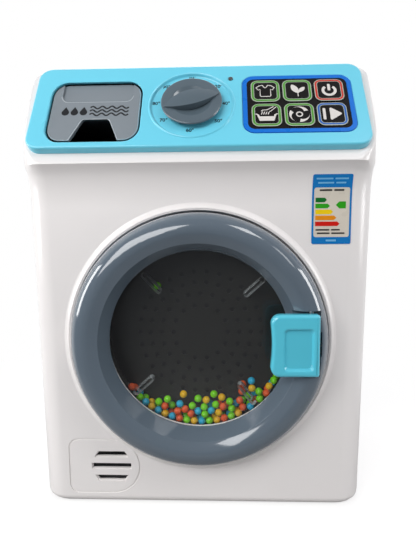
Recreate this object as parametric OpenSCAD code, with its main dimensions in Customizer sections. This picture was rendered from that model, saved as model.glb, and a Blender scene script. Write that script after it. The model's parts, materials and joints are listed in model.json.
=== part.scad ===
// Toy front-loading washing machine, about 260 mm tall, in millimetres.
// X runs to the right of the front, Y runs to the back and Z is up.
// The origin is under the middle of the case, on the face that it stands on.

/* [Case] */
// Width of the case just under the control panel
body_w = 199; // [190:0.5:215]
// How much narrower the case is at its foot than under the panel
body_taper = 5; // [0:0.5:8]
// Depth of the case from its front face to its back
body_depth = 140; // [125:1:170]
// Height of the flat top
body_h = 260; // [250:1:290]
// Wall thickness of the case shells
wall = 2.2; // [1.6:0.1:3]
// Rounding of the edges round the foot and the top
edge_r = 5; // [3:0.5:7]
// Radius of the upright front corners
front_corner_r = 15; // [10:0.5:20]
// Radius of the upright back corners
back_corner_r = 11; // [8:0.5:18]
// Distance from the front face back to the joint between the two shells
split_depth = 85; // [75:1:95]
// How far below the flat top the front begins to curve forward
cove_drop = 82; // [76:0.5:83]
// How far the lip under the control panel is below the flat top
lip_drop = 59; // [57:0.5:62]
// How far the lip stands in front of the front face
lip_out = 6.6; // [4:0.2:8]

/* [Control panel] */
// Lean of the panel from the horizontal, in degrees
panel_tilt = 60; // [56:0.5:64]
// How far the panel's lower front edge is below the flat top
panel_drop = 50.8; // [49:0.1:53]
// How far the panel's lower front edge stands in front of the front face
panel_out = 7.5; // [6:0.1:9]
// Border of the case that shows on each side of the blue panel
panel_margin = 5; // [4.5:0.5:7.5]
// Length of the blue panel up its slope
panel_len = 60.5; // [58:0.25:61.5]
// Depth of the panel's edge
panel_t = 4.5; // [3.5:0.1:5.5]
// Thickness of the panel's skin
panel_skin = 2.4; // [1.8:0.1:3]
// Radius of the panel's corners
panel_corner_r = 8; // [5:0.5:10]
// Width of the ledge that carries the panel, inside its edge
ledge_w = 7; // [5:0.5:9]

/* [Detergent drawer] */
// Distance from the panel's left edge to the drawer's cut-out
drawer_margin = 9.8; // [8.5:0.1:12.5]
// Width of the drawer's cut-out
drawer_w = 53.1; // [48:0.1:55]
// Height of the cut-out's lower edge above the panel's lower edge
drawer_up = 3.4; // [2.8:0.1:4.8]
// Height of the cut-out, seen level from the front
drawer_h = 38.6; // [36:0.1:39]
// Gap round the drawer front
drawer_gap = 1.1; // [0.8:0.05:1.5]
// Corner radius of the cut-out
drawer_corner_r = 9; // [6:0.5:11]
// Thickness of the drawer front
drawer_front_t = 2.8; // [2.2:0.1:3.2]
// Height of the tray
tray_h = 18; // [14:0.5:18.5]
// Wall of the tray and of its housing
tray_wall = 1.6; // [1.2:0.1:2]
// How far the drawer pulls out
drawer_travel = 36; // [25:1:40]

/* [Dial] */
// Dial centre, to the right of the middle of the panel
dial_x = -3.2; // [-5:0.1:0]
// Dial centre, up the slope from the panel's lower edge
dial_s = 30; // [28:0.1:31]
// Radius of the round dish under the dial
dish_r = 23.5; // [21:0.1:24]
// Radius of the dial knob
knob_r = 17.1; // [15:0.1:18.5]
// Height of the knob's rim above the panel
knob_rim_h = 3; // [2:0.1:4]
// Height of the knob's grip bar above the panel
knob_grip_h = 5.6; // [4.5:0.1:8]
// Radius of the dial shaft
dial_shaft_r = 3; // [2.5:0.1:3.5]

/* [Keys] */
// Distance from the panel's right edge to the middle of the key field
keys_margin = 38.2; // [37.5:0.1:39.5]
// Middle of the key field, up the slope
keys_s = 29.6; // [29:0.1:31]
// Width of the key surround
surround_w = 61.6; // [60.8:0.1:62]
// Height of the key surround, up the slope
surround_h = 42.2; // [41.4:0.1:43]
// Width of the blue band round the keys
band_w = 2.5; // [1.8:0.1:2.7]
// Side of a square key
key_side = 16.3; // [14:0.1:16.5]
// Distance between neighbouring keys
key_pitch = 17.9; // [17.8:0.05:18]
// How far a key travels
key_travel = 1; // [0.6:0.1:1.2]
// Gap round a key
key_gap = 0.3; // [0.2:0.05:0.4]

/* [Door] */
// Height of the door's centre as a share of the height of the case
door_share = 0.39; // [0.385:0.001:0.395]
// Outer radius of the door ring as a share of the height of the case
door_r_share = 0.2808; // [0.277:0.0001:0.283]
// How far the door ring's crest is inside its edge
crest_in = 10.5; // [10:0.1:11]
// Height of the crest in front of the front face
crest_out = 14.5; // [13.5:0.1:15.5]
// How far the ring's sharp inner edge is inside its outer edge
crease_in = 17.3; // [16.8:0.1:18]
// How far the clear part of the window is inside the ring's outer edge
window_in = 21.1; // [20.6:0.1:23]
// Thickness of the window
window_t = 1.5; // [1.2:0.1:1.8]
// Wall of the door ring
ring_wall = 2.2; // [1.8:0.1:2.6]
// Gap between the door ring and its seat
door_gap = 0.8; // [0.6:0.1:1.2]
// Depth of the door's seat behind the front face
seat_depth = 5; // [4.6:0.1:6]
// Width of the ledge that the door closes on
seat_ledge = 18.5; // [17.5:0.1:19]
// How far the hinge pin is inside the door ring's edge
hinge_in = 3; // [2.6:0.1:3.4]
// Distance of the hinge pin in front of the front face
hinge_out = 6.5; // [6:0.1:7]
// Radius of the hinge pin
hinge_pin_r = 1.25; // [1:0.05:1.4]

/* [Handle] */
// Distance from the door ring's right edge to the handle's left edge
handle_in = 33.5; // [32:0.1:35]
// Width of the handle
handle_w = 26.1; // [24:0.1:27]
// Height of the handle
handle_h = 34; // [30:0.5:36]
// Height of the handle's middle above the door's centre
handle_up = 1; // [0:0.1:2]
// Height of the handle's face in front of the front face
handle_out = 18.4; // [17.5:0.1:20]
// Thickness of the handle
handle_t = 5.2; // [4.5:0.1:5.5]
// How far the handle's pin is inside the door ring's edge
handle_pin_in = 11; // [10.8:0.1:11.6]
// Distance of the handle's pin in front of the front face
handle_pin_out = 11; // [10.8:0.1:11.4]
// Radius of the handle's pin
handle_pin_r = 1.2; // [1:0.05:1.3]

/* [Drum] */
// How much smaller the drum's radius is than the door ring's
drum_in = 14.2; // [13.4:0.1:14.6]
// Wall of the drum
drum_wall = 1.7; // [1.4:0.1:2.2]
// Distance from the front face back to the drum's rim
drum_front = 8.5; // [8:0.1:10]
// Depth of the bead chamber
chamber_depth = 10; // [9.9:0.1:12]
// Thickness of the clear chamber cover
cover_t = 1.6; // [1.2:0.1:2]
// Diameter of one bead
bead_d = 4.6; // [4:0.1:4.6]
// Length of a paddle along the drum's radius
paddle_len = 16; // [12:0.5:16]
// Radius of the drum shaft
shaft_r = 4; // [3:0.1:5]

/* [Drive] */
// Gear module, the pitch diameter per tooth
gear_module = 1.25; // [1:0.05:1.3]
// Teeth of the drum gear
drum_gear_teeth = 48; // [48:4:52]
// Teeth of the small wheel of the idler
idler_small_teeth = 12; // [12:1:13]
// Teeth of the large wheel of the idler
idler_large_teeth = 36; // [34:1:38]
// Teeth of the motor pinion
motor_teeth = 12; // [12:1:13]
// Play between meshing flanks, at the pitch circle
backlash = 0.25; // [0.15:0.05:0.4]
// Thickness of a gear wheel
gear_t = 5; // [4:0.5:6]
// Radius of the motor can
motor_r = 10; // [9:0.5:11]
// Length of the motor can
motor_len = 25; // [20:1:30]

/* [Power] */
// Length of one battery cell
cell_len = 50.5; // [49:0.5:51]
// Diameter of one battery cell
cell_d = 14.4; // [14:0.1:14.5]
// Number of battery cells
cell_count = 3; // [2:1:3]
// Height of the lowest cell's axis above the foot
cell_z0 = 22; // [20:0.5:30]

/* [Label and loudspeaker] */
// Distance from the case's right edge to the label's left edge
label_margin = 36.1; // [33.5:0.1:39.5]
// Width of the label
label_w = 21.7; // [18:0.1:24]
// How far the label's lower edge is below the flat top
label_drop = 103.7; // [100:0.1:106]
// Height of the label
label_h = 38; // [30:0.5:40]
// Thickness of the label
label_t = 0.2; // [0.15:0.05:0.3]
// Distance from the case's left edge to the middle of the loudspeaker
speaker_margin = 46.6; // [45.5:0.1:47.5]
// Height of the loudspeaker's middle
speaker_z = 23.8; // [23:0.1:25]
// Radius of the loudspeaker
speaker_r = 15; // [12:0.5:15]
// Height of one sound slot
slot_h = 3.8; // [2.5:0.1:4.4]
// Distance between sound slots
slot_pitch = 7.5; // [6.5:0.1:8]
// Width of the moulded groove round the slots
groove_w = 1; // [0.6:0.1:1.4]
// Depth of the moulded groove
groove_d = 0.5; // [0.3:0.1:0.8]

/* [Screws] */
// Radius of a screw's thread
screw_r = 1.4; // [1.2:0.05:1.5]
// Radius of a screw's head
screw_head_r = 2.8; // [2.4:0.1:3]
// Outer radius of a screw column
column_r = 4.2; // [4:0.1:5]

/* [Hidden] */
$fn = 96;

white_plastic = "#eeeae8";
blue_plastic = "#78d8f0";
grey_plastic = "#7f878c";
ring_grey = "#5f6d7a";
dark_plastic = "#2b2d31";
steel = "#b9bcc0";

// Very small overlap that keeps a cut clear of the face it starts from
eps = 0.05;
// Clearance between a moving piece and what carries it
running_gap = 0.3;
// Radial clearance of a shaft in its bearing
shaft_fit = 0.05;

half_top = body_w / 2;
cove_z = body_h - cove_drop;
lip_z = body_h - lip_drop;
panel_z = body_h - panel_drop;
panel_w = body_w - 2 * panel_margin;
drawer_x0 = drawer_margin - panel_w / 2;
drawer_z0 = panel_z + drawer_up;
keys_x = panel_w / 2 - keys_margin;
door_z = body_h * door_share;
// The door's radius, to a tenth of a millimetre
door_r = round(body_h * door_r_share * 10) / 10;
crest_r = door_r - crest_in;
crease_r = door_r - crease_in;
window_r = door_r - window_in;
seat_hole_r = door_r - seat_ledge;
hinge_x = door_r - hinge_in;
handle_x0 = door_r - handle_in;
handle_pin_x = door_r - handle_pin_in;
drum_r = door_r - drum_in;
label_x0 = half_top - label_margin;
label_z0 = body_h - label_drop;
speaker_x = speaker_margin - half_top;
half_foot = half_top - body_taper / 2;
face_y = -body_depth / 2;
corner_steps = 6;
edge_steps = 4;
cove_steps = 7;

// Half the width of the case at height z.
function half_at(z) = half_foot + (half_top - half_foot) * min(1, max(0, z / cove_z));

// How far the front stands forward at height z: none, then a quarter-round cove out to the lip.
function cove_at(z) =
    let (t = min(1, max(0, (z - cove_z) / (lip_z - cove_z))))
    lip_out * (1 - sqrt(1 - t * t * 0.96)) / (1 - sqrt(1 - 0.96));

// How far an outline is drawn in at height z by the rounding between heights z0 and z1.
function edge_inset(z, z0, z1, r) =
    let (d = min(z - z0, z1 - z))
    d >= r ? 0 : r - sqrt(max(0, r * r - (r - d) * (r - d)));

function arc(cx, cy, r, a0, a1, n) =
    [for (i = [0 : n]) let (a = a0 + (a1 - a0) * i / n) [cx + r * cos(a), cy + r * sin(a)]];

// One closed outline of the case at height z, drawn in by t all round.
function case_outline(z, t, z0, z1, r) =
    let (d = edge_inset(z, z0, z1, r) + t, w = half_at(z) - d)
    let (y0 = d - cove_at(z - t), y1 = body_depth - d)
    let (rf = front_corner_r - t, rb = back_corner_r - t)
    concat(arc(w - rf, y0 + rf, rf, -90, 0, corner_steps), arc(w - rb, y1 - rb, rb, 0, 90, corner_steps),
        arc(rb - w, y1 - rb, rb, 90, 180, corner_steps), arc(rf - w, y0 + rf, rf, 180, 270, corner_steps));

function case_levels(z0, z1, r, t) = concat(
    [for (i = [0 : edge_steps]) z0 + r * (1 - cos(90 * i / edge_steps))],
    [for (i = [0 : cove_steps]) cove_z + t + (lip_z - cove_z) * i / cove_steps],
    [for (i = [edge_steps : -1 : 0]) z1 - r * (1 - cos(90 * i / edge_steps))]);

// A solid of the case's outer form, drawn in by t.
module case_solid(t) {
    z0 = t;
    z1 = body_h - t;
    r = edge_r - t / 2;
    levels = case_levels(z0, z1, r, t);
    rings = [for (z = levels) [for (p = case_outline(z, t, z0, z1, r)) [p[0], p[1], z]]];
    n = len(rings[0]);
    m = len(rings);
    sides = [for (i = [0 : m - 2], j = [0 : n - 1])
        [i * n + j, (i + 1) * n + j, (i + 1) * n + (j + 1) % n, i * n + (j + 1) % n]];
    bottom = [for (j = [0 : n - 1]) j];
    top = [for (j = [n - 1 : -1 : 0]) (m - 1) * n + j];
    polyhedron([for (ring = rings) each ring], concat(sides, [bottom, top]), convexity = 4);
}

// Places what is drawn from the front face: X right, Y back from the face, Z up.
module at_face() {
    translate([0, face_y, 0]) children();
}

// Places what is drawn on the panel: X right, Y up the slope, Z out of the panel.
module on_panel() {
    at_face() translate([0, -panel_out, panel_z]) rotate([panel_tilt, 0, 0]) children();
}

// Places what is drawn about the door's axis: X right, Y up, Z forward of the front face.
module on_door() {
    at_face() translate([0, 0, door_z]) rotate([90, 0, 0]) children();
}

// Extrudes a front view, drawn as X and height, from depth y0 to depth y1 behind the front face.
module front_view(y0, y1) {
    at_face() translate([0, y1, 0]) rotate([90, 0, 0]) linear_extrude(y1 - y0) children();
}

module box(x0, x1, y0, y1, z0, z1) {
    translate([x0, y0, z0]) cube([x1 - x0, y1 - y0, z1 - z0]);
}

module round_rect(w, h, r) {
    polygon(concat(arc(w / 2 - r, h / 2 - r, r, 0, 90, 8), arc(r - w / 2, h / 2 - r, r, 90, 180, 8),
        arc(r - w / 2, r - h / 2, r, 180, 270, 8), arc(w / 2 - r, r - h / 2, r, 270, 360, 8)));
}

module tube(r_out, r_in, h) {
    difference() {
        cylinder(r = r_out, h = h);
        translate([0, 0, -eps]) cylinder(r = r_in, h = h + 2 * eps);
    }
}

// A pan-head screw that points down from its head at the origin.
module screw(len, r = screw_r, head_r = screw_head_r) {
    cylinder(r = head_r, h = head_r * 0.6);
    translate([0, 0, -len]) cylinder(r = r, h = len + eps);
}

// Everything in front of the panel's plane, sunk by depth d.
module above_panel(d) {
    reach = body_w;
    on_panel() translate([-reach, -reach, -d]) cube([2 * reach, 3 * reach, reach]);
}

case_clear = 1.5;
column_x = half_foot - wall - column_r - case_clear;
column_low = 16;
column_mid_drop = 132;
column_top_drop = 68;
column_heights = [column_low, body_h - column_mid_drop, body_h - column_top_drop];
column_end = 3;
screw_bite = 12;

module columns(y0, y1, r) {
    for (side = [-1, 1], z = column_heights)
        at_face() translate([side * column_x, y1, z]) rotate([90, 0, 0])
            cylinder(r = r, h = y1 - y0, $fn = 32);
}

rib_t = 2;
module column_ribs(y0, y1) {
    for (side = [-1, 1], z = column_heights)
        at_face() translate([side * (column_x + half_top) / 2, (y0 + y1) / 2, z])
            cube([half_top - column_x, y1 - y0, rib_t], center = true);
}

seat_r = door_r + door_gap;
seat_t = 2;
collar_w = 3.2;
collar_h = 1.6;
arch_r = 17.2;
arch_reach = 26.3;
arch_left = speaker_x - arch_reach;
arch_corner_r = 6;

// The arch-shaped outline round the sound slots, drawn in by t.
module arch_outline(t) {
    r = arch_r - t;
    c = arch_corner_r - t;
    x0 = arch_left + t - speaker_x;
    translate([speaker_x, speaker_z])
        polygon(concat(arc(0, 0, r, -90, 90, 24), arc(x0 + c, r - c, c, 90, 180, 8),
            arc(x0 + c, c - r, c, 180, 270, 8)));
}

slot_w = 24.2;
slot_end_w = 20.4;
slot_lean = 2.1;
module sound_slots(t) {
    h = slot_h / 2 - t;
    translate([speaker_x - 0.4, speaker_z]) {
        polygon([[-slot_w / 2 + t, -h], [slot_w / 2 - t, -h], [slot_w / 2 - t, h], [-slot_w / 2 + t, h]]);
        for (side = [-1, 1])
            translate([0, side * slot_pitch])
                polygon([[-slot_end_w / 2 + t, -side * h], [slot_end_w / 2 - t, -side * h],
                    [slot_end_w / 2 - slot_lean - t, side * h],
                        [slot_lean + t - slot_end_w / 2, side * h]]);
    }
}

post_r = 3.6;
post_clear = 2.65;
post_at = round((drum_r + post_r + post_clear) / sqrt(2) * 10) / 10;
plate_depth = 40;
plate_t = 2.6;
drive_screw_len = 9;

tongue_x = handle_pin_x - 1;
tongue_t = 3;
tongue_half = 4;
tongue_reach = 8.3;
hook_out = 1.8;
hook_t = 1;

hinge_half = 7;
knuckle_r = 2.2;
arm_half = 1.2;
foot_t = 2;
hinge_screw_in = 5.5;
hinge_screw_x = hinge_x - hinge_screw_in;
hinge_screw_up = 9;

module shell_form() {
    difference() {
        at_face() case_solid(0);
        difference() {
            at_face() case_solid(wall);
            above_panel(panel_t + wall);
        }
        above_panel(panel_t);
        on_panel() translate([0, panel_len / 2, -panel_t - 2 * wall]) linear_extrude(4 * wall)
            round_rect(panel_w - 2 * ledge_w, panel_len - 2 * ledge_w, panel_corner_r - ledge_w / 2);
    }
}

module front_shell() {
    color(white_plastic) difference() {
        union() {
            intersection() {
                shell_form();
                at_face() box(-body_w, body_w, -body_depth, split_depth, -body_h, 2 * body_h);
            }
            intersection() {
                at_face() case_solid(wall / 2);
                union() {
                    columns(wall / 2, split_depth, column_r);
                    column_ribs(wall / 2, split_depth);
                }
                at_face() box(-body_w, body_w, wall / 2, split_depth, 0, body_h);
            }
            on_door() rotate_extrude()
                polygon([[seat_r, 0], [seat_r + 0.6, collar_h], [seat_r + 1.4, collar_h],
                    [seat_r + collar_w, 0],
                    [seat_r + collar_w, -wall / 2], [seat_r + wall, -wall],
                        [seat_r + wall, -seat_depth - seat_t],
                    [seat_hole_r, -seat_depth - seat_t], [seat_hole_r, -seat_depth],
                        [seat_r, -seat_depth]]);
            for (x = [-post_at, post_at], y = [-post_at, post_at])
                on_door() translate([x, y, -plate_depth])
                    cylinder(r = post_r, h = plate_depth - seat_depth - seat_t / 2,
                    $fn = 32);
            front_view(wall / 2, wall + 3) translate([speaker_x, speaker_z]) difference() {
                circle(r = speaker_r + running_gap + 1.2);
                circle(r = speaker_r + running_gap);
            }
        }
        on_door() translate([0, 0, -seat_depth]) cylinder(r = seat_r, h = seat_depth + collar_h + 1);
        on_door() translate([0, 0, -seat_depth - seat_t - 1]) cylinder(r = seat_hole_r, h = seat_t + 2);
        // slot for the latch tongue
        on_door() box(seat_hole_r - 3, tongue_x + tongue_t + hook_out + 1.5, handle_up - tongue_half - 1.5,
            handle_up + tongue_half + 1.5, -seat_depth - seat_t - 1, 0);
        // slot for the hinge arm
        on_door() box(-hinge_x - 3, -hinge_x + 3, -hinge_half - 1, hinge_half + 1,
            -seat_depth - seat_t - 1, 0);
        for (y = [-hinge_screw_up, hinge_screw_up])
            on_door() translate([-hinge_screw_x, y, -seat_depth - seat_t - 1])
                cylinder(r = screw_r, h = seat_t + 2,
                $fn = 24);
        for (x = [-post_at, post_at], y = [-post_at, post_at])
            on_door() translate([x, y, -plate_depth - 1])
                cylinder(r = screw_r, h = drive_screw_len, $fn = 24);
        front_view(-1, groove_d) difference() {
            arch_outline(0);
            arch_outline(groove_w);
        }
        front_view(-1, wall + 1) sound_slots(0.5);
        front_view(-1, 0.7) sound_slots(0);
        columns(split_depth - screw_bite, split_depth + 1, screw_r);
        // room for the drawer's housing in the deck under the panel
        at_face() box(housing_x0 - running_gap, housing_x1 + running_gap, -panel_out, housing_y1,
            housing_z0 - housing_wall - running_gap, housing_z1 + housing_wall + running_gap);
    }
}

battery_x = cell_len / 2 + 3;
battery_floor = 1.6;
cell_pitch = cell_d + 0.8;
battery_z0 = cell_z0 - cell_pitch / 2 - 0.6;
battery_z1 = cell_z0 + cell_pitch * (cell_count - 0.5) + 0.6;
battery_depth = cell_d + 1.2;
cover_lip = 3;
cover_plate_t = 2;
cover_gap = 0.3;
cover_tab = 9;
cover_mid = (battery_z0 + battery_z1 + cover_tab) / 2;
cover_w = 2 * battery_x + 2 * cover_lip;
cover_h = battery_z1 - battery_z0 + 2 * cover_lip + cover_tab;
cover_screw_z = battery_z1 + cover_tab / 2 + 1;
vent_count = 7;
vent_pitch = 7;
vent_w = 44;
vent_h = 2.4;
vent_drop = 110;
vent_z = body_h - vent_drop;

module back_shell() {
    color(white_plastic) difference() {
        union() {
            intersection() {
                shell_form();
                at_face() box(-body_w, body_w, split_depth, 2 * body_depth, -body_h, 2 * body_h);
            }
            intersection() {
                at_face() case_solid(wall / 2);
                union() {
                    columns(split_depth, body_depth - wall / 2, column_r);
                    column_ribs(split_depth, body_depth - wall / 2);
                }
            }
            // collar that carries the battery cover
            front_view(body_depth - cover_plate_t - wall, body_depth - wall / 2) translate([0, cover_mid])
                round_rect(cover_w + 4, cover_h + 4, 5);
            front_view(body_depth - 12, body_depth - wall) translate([0, cover_screw_z])
                circle(r = column_r - 0.4, $fn = 32);
        }
        columns(split_depth - 1, body_depth + 1, screw_r + 0.2);
        columns(split_depth + column_end, body_depth + 1, screw_head_r + 0.3);
        front_view(body_depth - cover_plate_t - cover_gap, body_depth + 1) translate([0, cover_mid])
            round_rect(cover_w + 2 * cover_gap, cover_h + 2 * cover_gap, 3.3);
        front_view(body_depth - 3 * wall - cover_plate_t, body_depth + 1)
            translate([0, (battery_z0 + battery_z1) / 2])
                square([2 * battery_x, battery_z1 - battery_z0], center = true);
        front_view(body_depth - 10, body_depth + 1) translate([0, cover_screw_z])
            circle(r = screw_r, $fn = 24);
        for (i = [0 : vent_count - 1])
            front_view(body_depth - wall - 1, body_depth + 1)
                translate([0, vent_z + (i - (vent_count - 1) / 2) * vent_pitch])
                    round_rect(vent_w, vent_h, vent_h / 2 - 0.05);
    }
}

opening_mid_x = drawer_x0 + drawer_w / 2;
opening_mid_z = drawer_z0 + drawer_h / 2;
front_w = drawer_w - 2 * drawer_gap;
front_h = drawer_h - 2 * drawer_gap;
dish_d = 1;
dish_rim = 0.8;
dish_rim_h = 0.4;
recess_d = 0.8;
lamp_x = keys_x - 37.4;
lamp_s = dial_s + 19.3;
lens_r = 1.3;
board_h = 10.4;
board_t = 1.6;
board_x0 = dial_x - 21.8;
board_x1 = keys_x + 28.7;
board_s0 = 9;
board_s1 = 51.5;
board_posts = [[dial_x - 16.8, 11.8], [dial_x - 16.8, 48.8], [keys_x - 33.7, 11.8], [keys_x - 32.7, 48.8]];
board_post_r = 2.6;
field_w = surround_w - 2 * band_w;
field_h = surround_h - 2 * band_w;
field_corner_r = 4.1;
surround_corner_r = 6.5;
surround_gap = 0.2;
key_corner_r = 3.9;
key_ledge = 0.7;

module panel_outline(t) {
    translate([0, panel_len / 2]) round_rect(panel_w - 2 * t, panel_len - 2 * t, panel_corner_r - t);
}

module control_panel() {
    color(blue_plastic) difference() {
        union() {
            difference() {
                on_panel() translate([0, 0, -panel_t]) linear_extrude(panel_t) panel_outline(0);
                on_panel() translate([0, 0, -panel_t - 1]) linear_extrude(panel_t + 1 - panel_skin)
                    panel_outline(4);
            }
            on_panel() translate([dial_x, dial_s, -panel_t])
                cylinder(r = dish_r + 1, h = panel_t - panel_skin + eps);
            on_panel() translate([dial_x, dial_s, -eps]) tube(dish_r + dish_rim, dish_r, dish_rim_h + eps);
            on_panel() for (p = board_posts)
                translate([p[0], p[1], -board_h])
                    cylinder(r = board_post_r, h = board_h - panel_skin + eps, $fn = 32);
        }
        front_view(-body_depth, body_depth) translate([opening_mid_x, opening_mid_z])
            round_rect(drawer_w, drawer_h, drawer_corner_r);
        on_panel() {
            translate([dial_x, dial_s, -dish_d]) cylinder(r = dish_r, h = panel_t);
            translate([dial_x, dial_s, -2 * panel_t]) cylinder(r = dial_shaft_r + 1.2, h = 3 * panel_t);
            translate([lamp_x, lamp_s, -2 * panel_t])
                cylinder(r = lens_r + shaft_fit, h = 3 * panel_t, $fn = 32);
            translate([keys_x, keys_s, -recess_d]) linear_extrude(panel_t)
                round_rect(surround_w + 2 * surround_gap, surround_h + 2 * surround_gap,
                    surround_corner_r + surround_gap);
            translate([keys_x, keys_s, -2 * panel_t]) linear_extrude(3 * panel_t)
                round_rect(field_w - 2 * key_ledge, field_h - 2 * key_ledge, field_corner_r - key_ledge);
            for (p = board_posts)
                translate([p[0], p[1], -board_h - 1]) cylinder(r = screw_r, h = 6, $fn = 24);
        }
    }
}

housing_wall = tray_wall;
// Length of the tray that stays in its housing when the drawer is out
tray_hold = 34;
tray_y1 = drawer_travel + tray_hold;
tray_rib_y = 21;
housing_back_gap = 3;
tray_x0 = drawer_x0 + 4.1;
tray_w = drawer_w - 8.2;
tray_z = opening_mid_z + front_h / 2 - 1.6 - tray_h;
housing_side = running_gap + 0.1;
housing_y1 = tray_y1 + housing_back_gap;
housing_z0 = drawer_z0 - 1.2;
housing_z1 = opening_mid_z + drawer_h / 2 + 0.6;
housing_x0 = tray_x0 - housing_side - housing_wall;
housing_x1 = tray_x0 + tray_w + housing_side + housing_wall;
rail_w = 4;

module drawer_housing() {
    x0 = housing_x0 + housing_wall;
    x1 = housing_x1 - housing_wall;
    color(dark_plastic) difference() {
        at_face() difference() {
            box(housing_x0, housing_x1, -panel_out, housing_y1, housing_z0 - housing_wall,
                housing_z1 + housing_wall);
            difference() {
                box(x0, x1, -2 * panel_out, housing_y1 - housing_wall, housing_z0, housing_z1);
                for (x = [x0, x1 - rail_w])
                    box(x, x + rail_w, -2 * panel_out, housing_y1, tray_z - running_gap - 1.6,
                        tray_z - running_gap);
            }
        }
        above_panel(panel_t);
    }
}

front_face_sink = 1;
notch_bottom_w = 27;
notch_top_w = 16.8;
notch_x = opening_mid_x + 0.95;
notch_h = 13;
scoop_x = opening_mid_x + 0.25;
scoop_w = 41;
scoop_z = opening_mid_z + 6.5;
scoop_d = 1.4;

module notch_outline() {
    z0 = opening_mid_z - front_h / 2;
    r = 2.5;
    polygon(concat([[notch_x - notch_bottom_w / 2 - 0.4, z0 - 1],
        [notch_x + notch_bottom_w / 2 + 0.4, z0 - 1]],
        arc(notch_x + notch_top_w / 2 - r, z0 + notch_h - r, r, 20, 90, 6),
        arc(notch_x - notch_top_w / 2 + r, z0 + notch_h - r, r, 90, 160, 6)));
}

module drawer_front() {
    color(grey_plastic) difference() {
        front_view(-2 * panel_out, body_depth / 2) translate([opening_mid_x, opening_mid_z])
            round_rect(front_w, front_h, drawer_corner_r - drawer_gap);
        above_panel(front_face_sink);
        difference() {
            at_face() box(-body_w, body_w, -body_depth, body_depth, 0, 2 * body_h);
            above_panel(front_face_sink + drawer_front_t);
        }
        front_view(-2 * panel_out, body_depth / 2) notch_outline();
        intersection() {
            front_view(-2 * panel_out, body_depth / 2) translate([scoop_x, scoop_z + drawer_h / 2])
                round_rect(scoop_w, drawer_h, 4);
            above_panel(front_face_sink + scoop_d);
        }
    }
}

module drawer_tray() {
    color(grey_plastic) difference() {
        at_face() difference() {
            box(tray_x0, tray_x0 + tray_w, 0, tray_y1, tray_z, tray_z + tray_h);
            difference() {
                box(tray_x0 + tray_wall, tray_x0 + tray_w - tray_wall, 0, tray_y1 - tray_wall,
                    tray_z + tray_wall,
                    tray_z + 2 * tray_h);
                tray_front_rib();
            }
        }
        above_panel(front_face_sink + drawer_front_t);
    }
}

// A low rib across the tray, which keeps powder away from the drawer front.
module tray_front_rib() {
    box(tray_x0, tray_x0 + tray_w, tray_rib_y, tray_rib_y + tray_wall, tray_z, tray_z + tray_h / 3);
}

module lens_outline(len, w) {
    r = (len * len / 4 + w * w / 4) / w;
    intersection() {
        translate([0, r - w / 2]) circle(r = r);
        translate([0, w / 2 - r]) circle(r = r);
    }
}

knob_base = -dish_d + running_gap;
knob_floor_h = 0.6;
grip_turn = 17;
grip_w = 10.5;
grip_dome_r = 60;

module dial_knob() {
    bowl_r = 30;
    color(grey_plastic) on_panel() translate([dial_x, dial_s, 0]) difference() {
        union() {
            difference() {
                rotate_extrude() polygon(concat([[0, knob_base], [knob_r - 0.6, knob_base]],
                    [[knob_r, knob_base + 0.6]], arc(knob_r - 0.8, knob_rim_h - 0.8, 0.8, 0, 90, 5),
                    [[0, knob_rim_h]]));
                translate([0, 0, knob_floor_h + bowl_r])
                    sphere(r = bowl_r);
            }
            intersection() {
                rotate([0, 0, grip_turn]) translate([0, 0, knob_base + 0.2])
                    linear_extrude(knob_grip_h - knob_base)
                    lens_outline(2 * knob_r - 1.4, grip_w);
                translate([0, 0, knob_grip_h - grip_dome_r]) sphere(r = grip_dome_r);
            }
        }
        translate([0, 0, knob_base - 1]) cylinder(r = dial_shaft_r, h = 1 - knob_base + knob_floor_h + 2);
    }
}

switch_side = 15;
switch_t = 4.2;
shaft_foot = -board_h + 0.8;

module dial_shaft() {
    color(dark_plastic) on_panel() translate([dial_x, dial_s, shaft_foot])
        cylinder(r = dial_shaft_r, h = knob_floor_h + 2 - shaft_foot);
}

module dial_switch() {
    color(dark_plastic) on_panel() translate([dial_x, dial_s, -board_h]) difference() {
        union() {
            translate([-switch_side / 2, -switch_side / 2, 0]) cube([switch_side, switch_side, switch_t]);
            cylinder(r = dial_shaft_r + 1.6, h = switch_t + 1.2);
        }
        translate([0, 0, shaft_foot + board_h - running_gap])
            cylinder(r = dial_shaft_r + shaft_fit, h = 3 * switch_t);
    }
}

lamp_t = 2;
module indicator_lens() {
    color("#dfeee8") on_panel() translate([lamp_x, lamp_s, -board_h + lamp_t])
        cylinder(r = lens_r, h = board_h - lamp_t + 0.3, $fn = 32);
}

module indicator_lamp() {
    color("#c8d8b0") on_panel() translate([lamp_x, lamp_s, -board_h])
        cylinder(r = lens_r + 0.5, h = lamp_t, $fn = 32);
}

module key_surround() {
    color("#1787e0") on_panel() translate([keys_x, keys_s, -recess_d]) linear_extrude(recess_d + 0.1)
        difference() {
            round_rect(surround_w, surround_h, surround_corner_r);
            round_rect(field_w, field_h, field_corner_r);
        }
}

plate_bottom = 1.6;
module key_plate() {
    color("#201c1a") on_panel() translate([keys_x, keys_s, 0]) difference() {
        union() {
            translate([0, 0, -recess_d]) linear_extrude(recess_d)
                round_rect(field_w, field_h, field_corner_r);
            translate([0, 0, -plate_bottom]) linear_extrude(plate_bottom)
                round_rect(field_w - 2 * key_ledge - 0.6, field_h - 2 * key_ledge - 0.6,
                    field_corner_r - key_ledge);
        }
        for (col = [-1 : 1], row = [-1, 1])
            translate([col * key_pitch, row * key_pitch / 2, -2 * plate_bottom])
                linear_extrude(3 * plate_bottom)
                round_rect(key_side + 2 * key_gap, key_side + 2 * key_gap, key_corner_r + key_gap);
    }
}

key_proud = 0.4;
key_flange = 0.7;
key_flange_w = 0.55;
stem_r = 2.4;
stem_end = 4.6;
tact_side = 6;
tact_top = stem_end + key_travel + running_gap;

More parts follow.
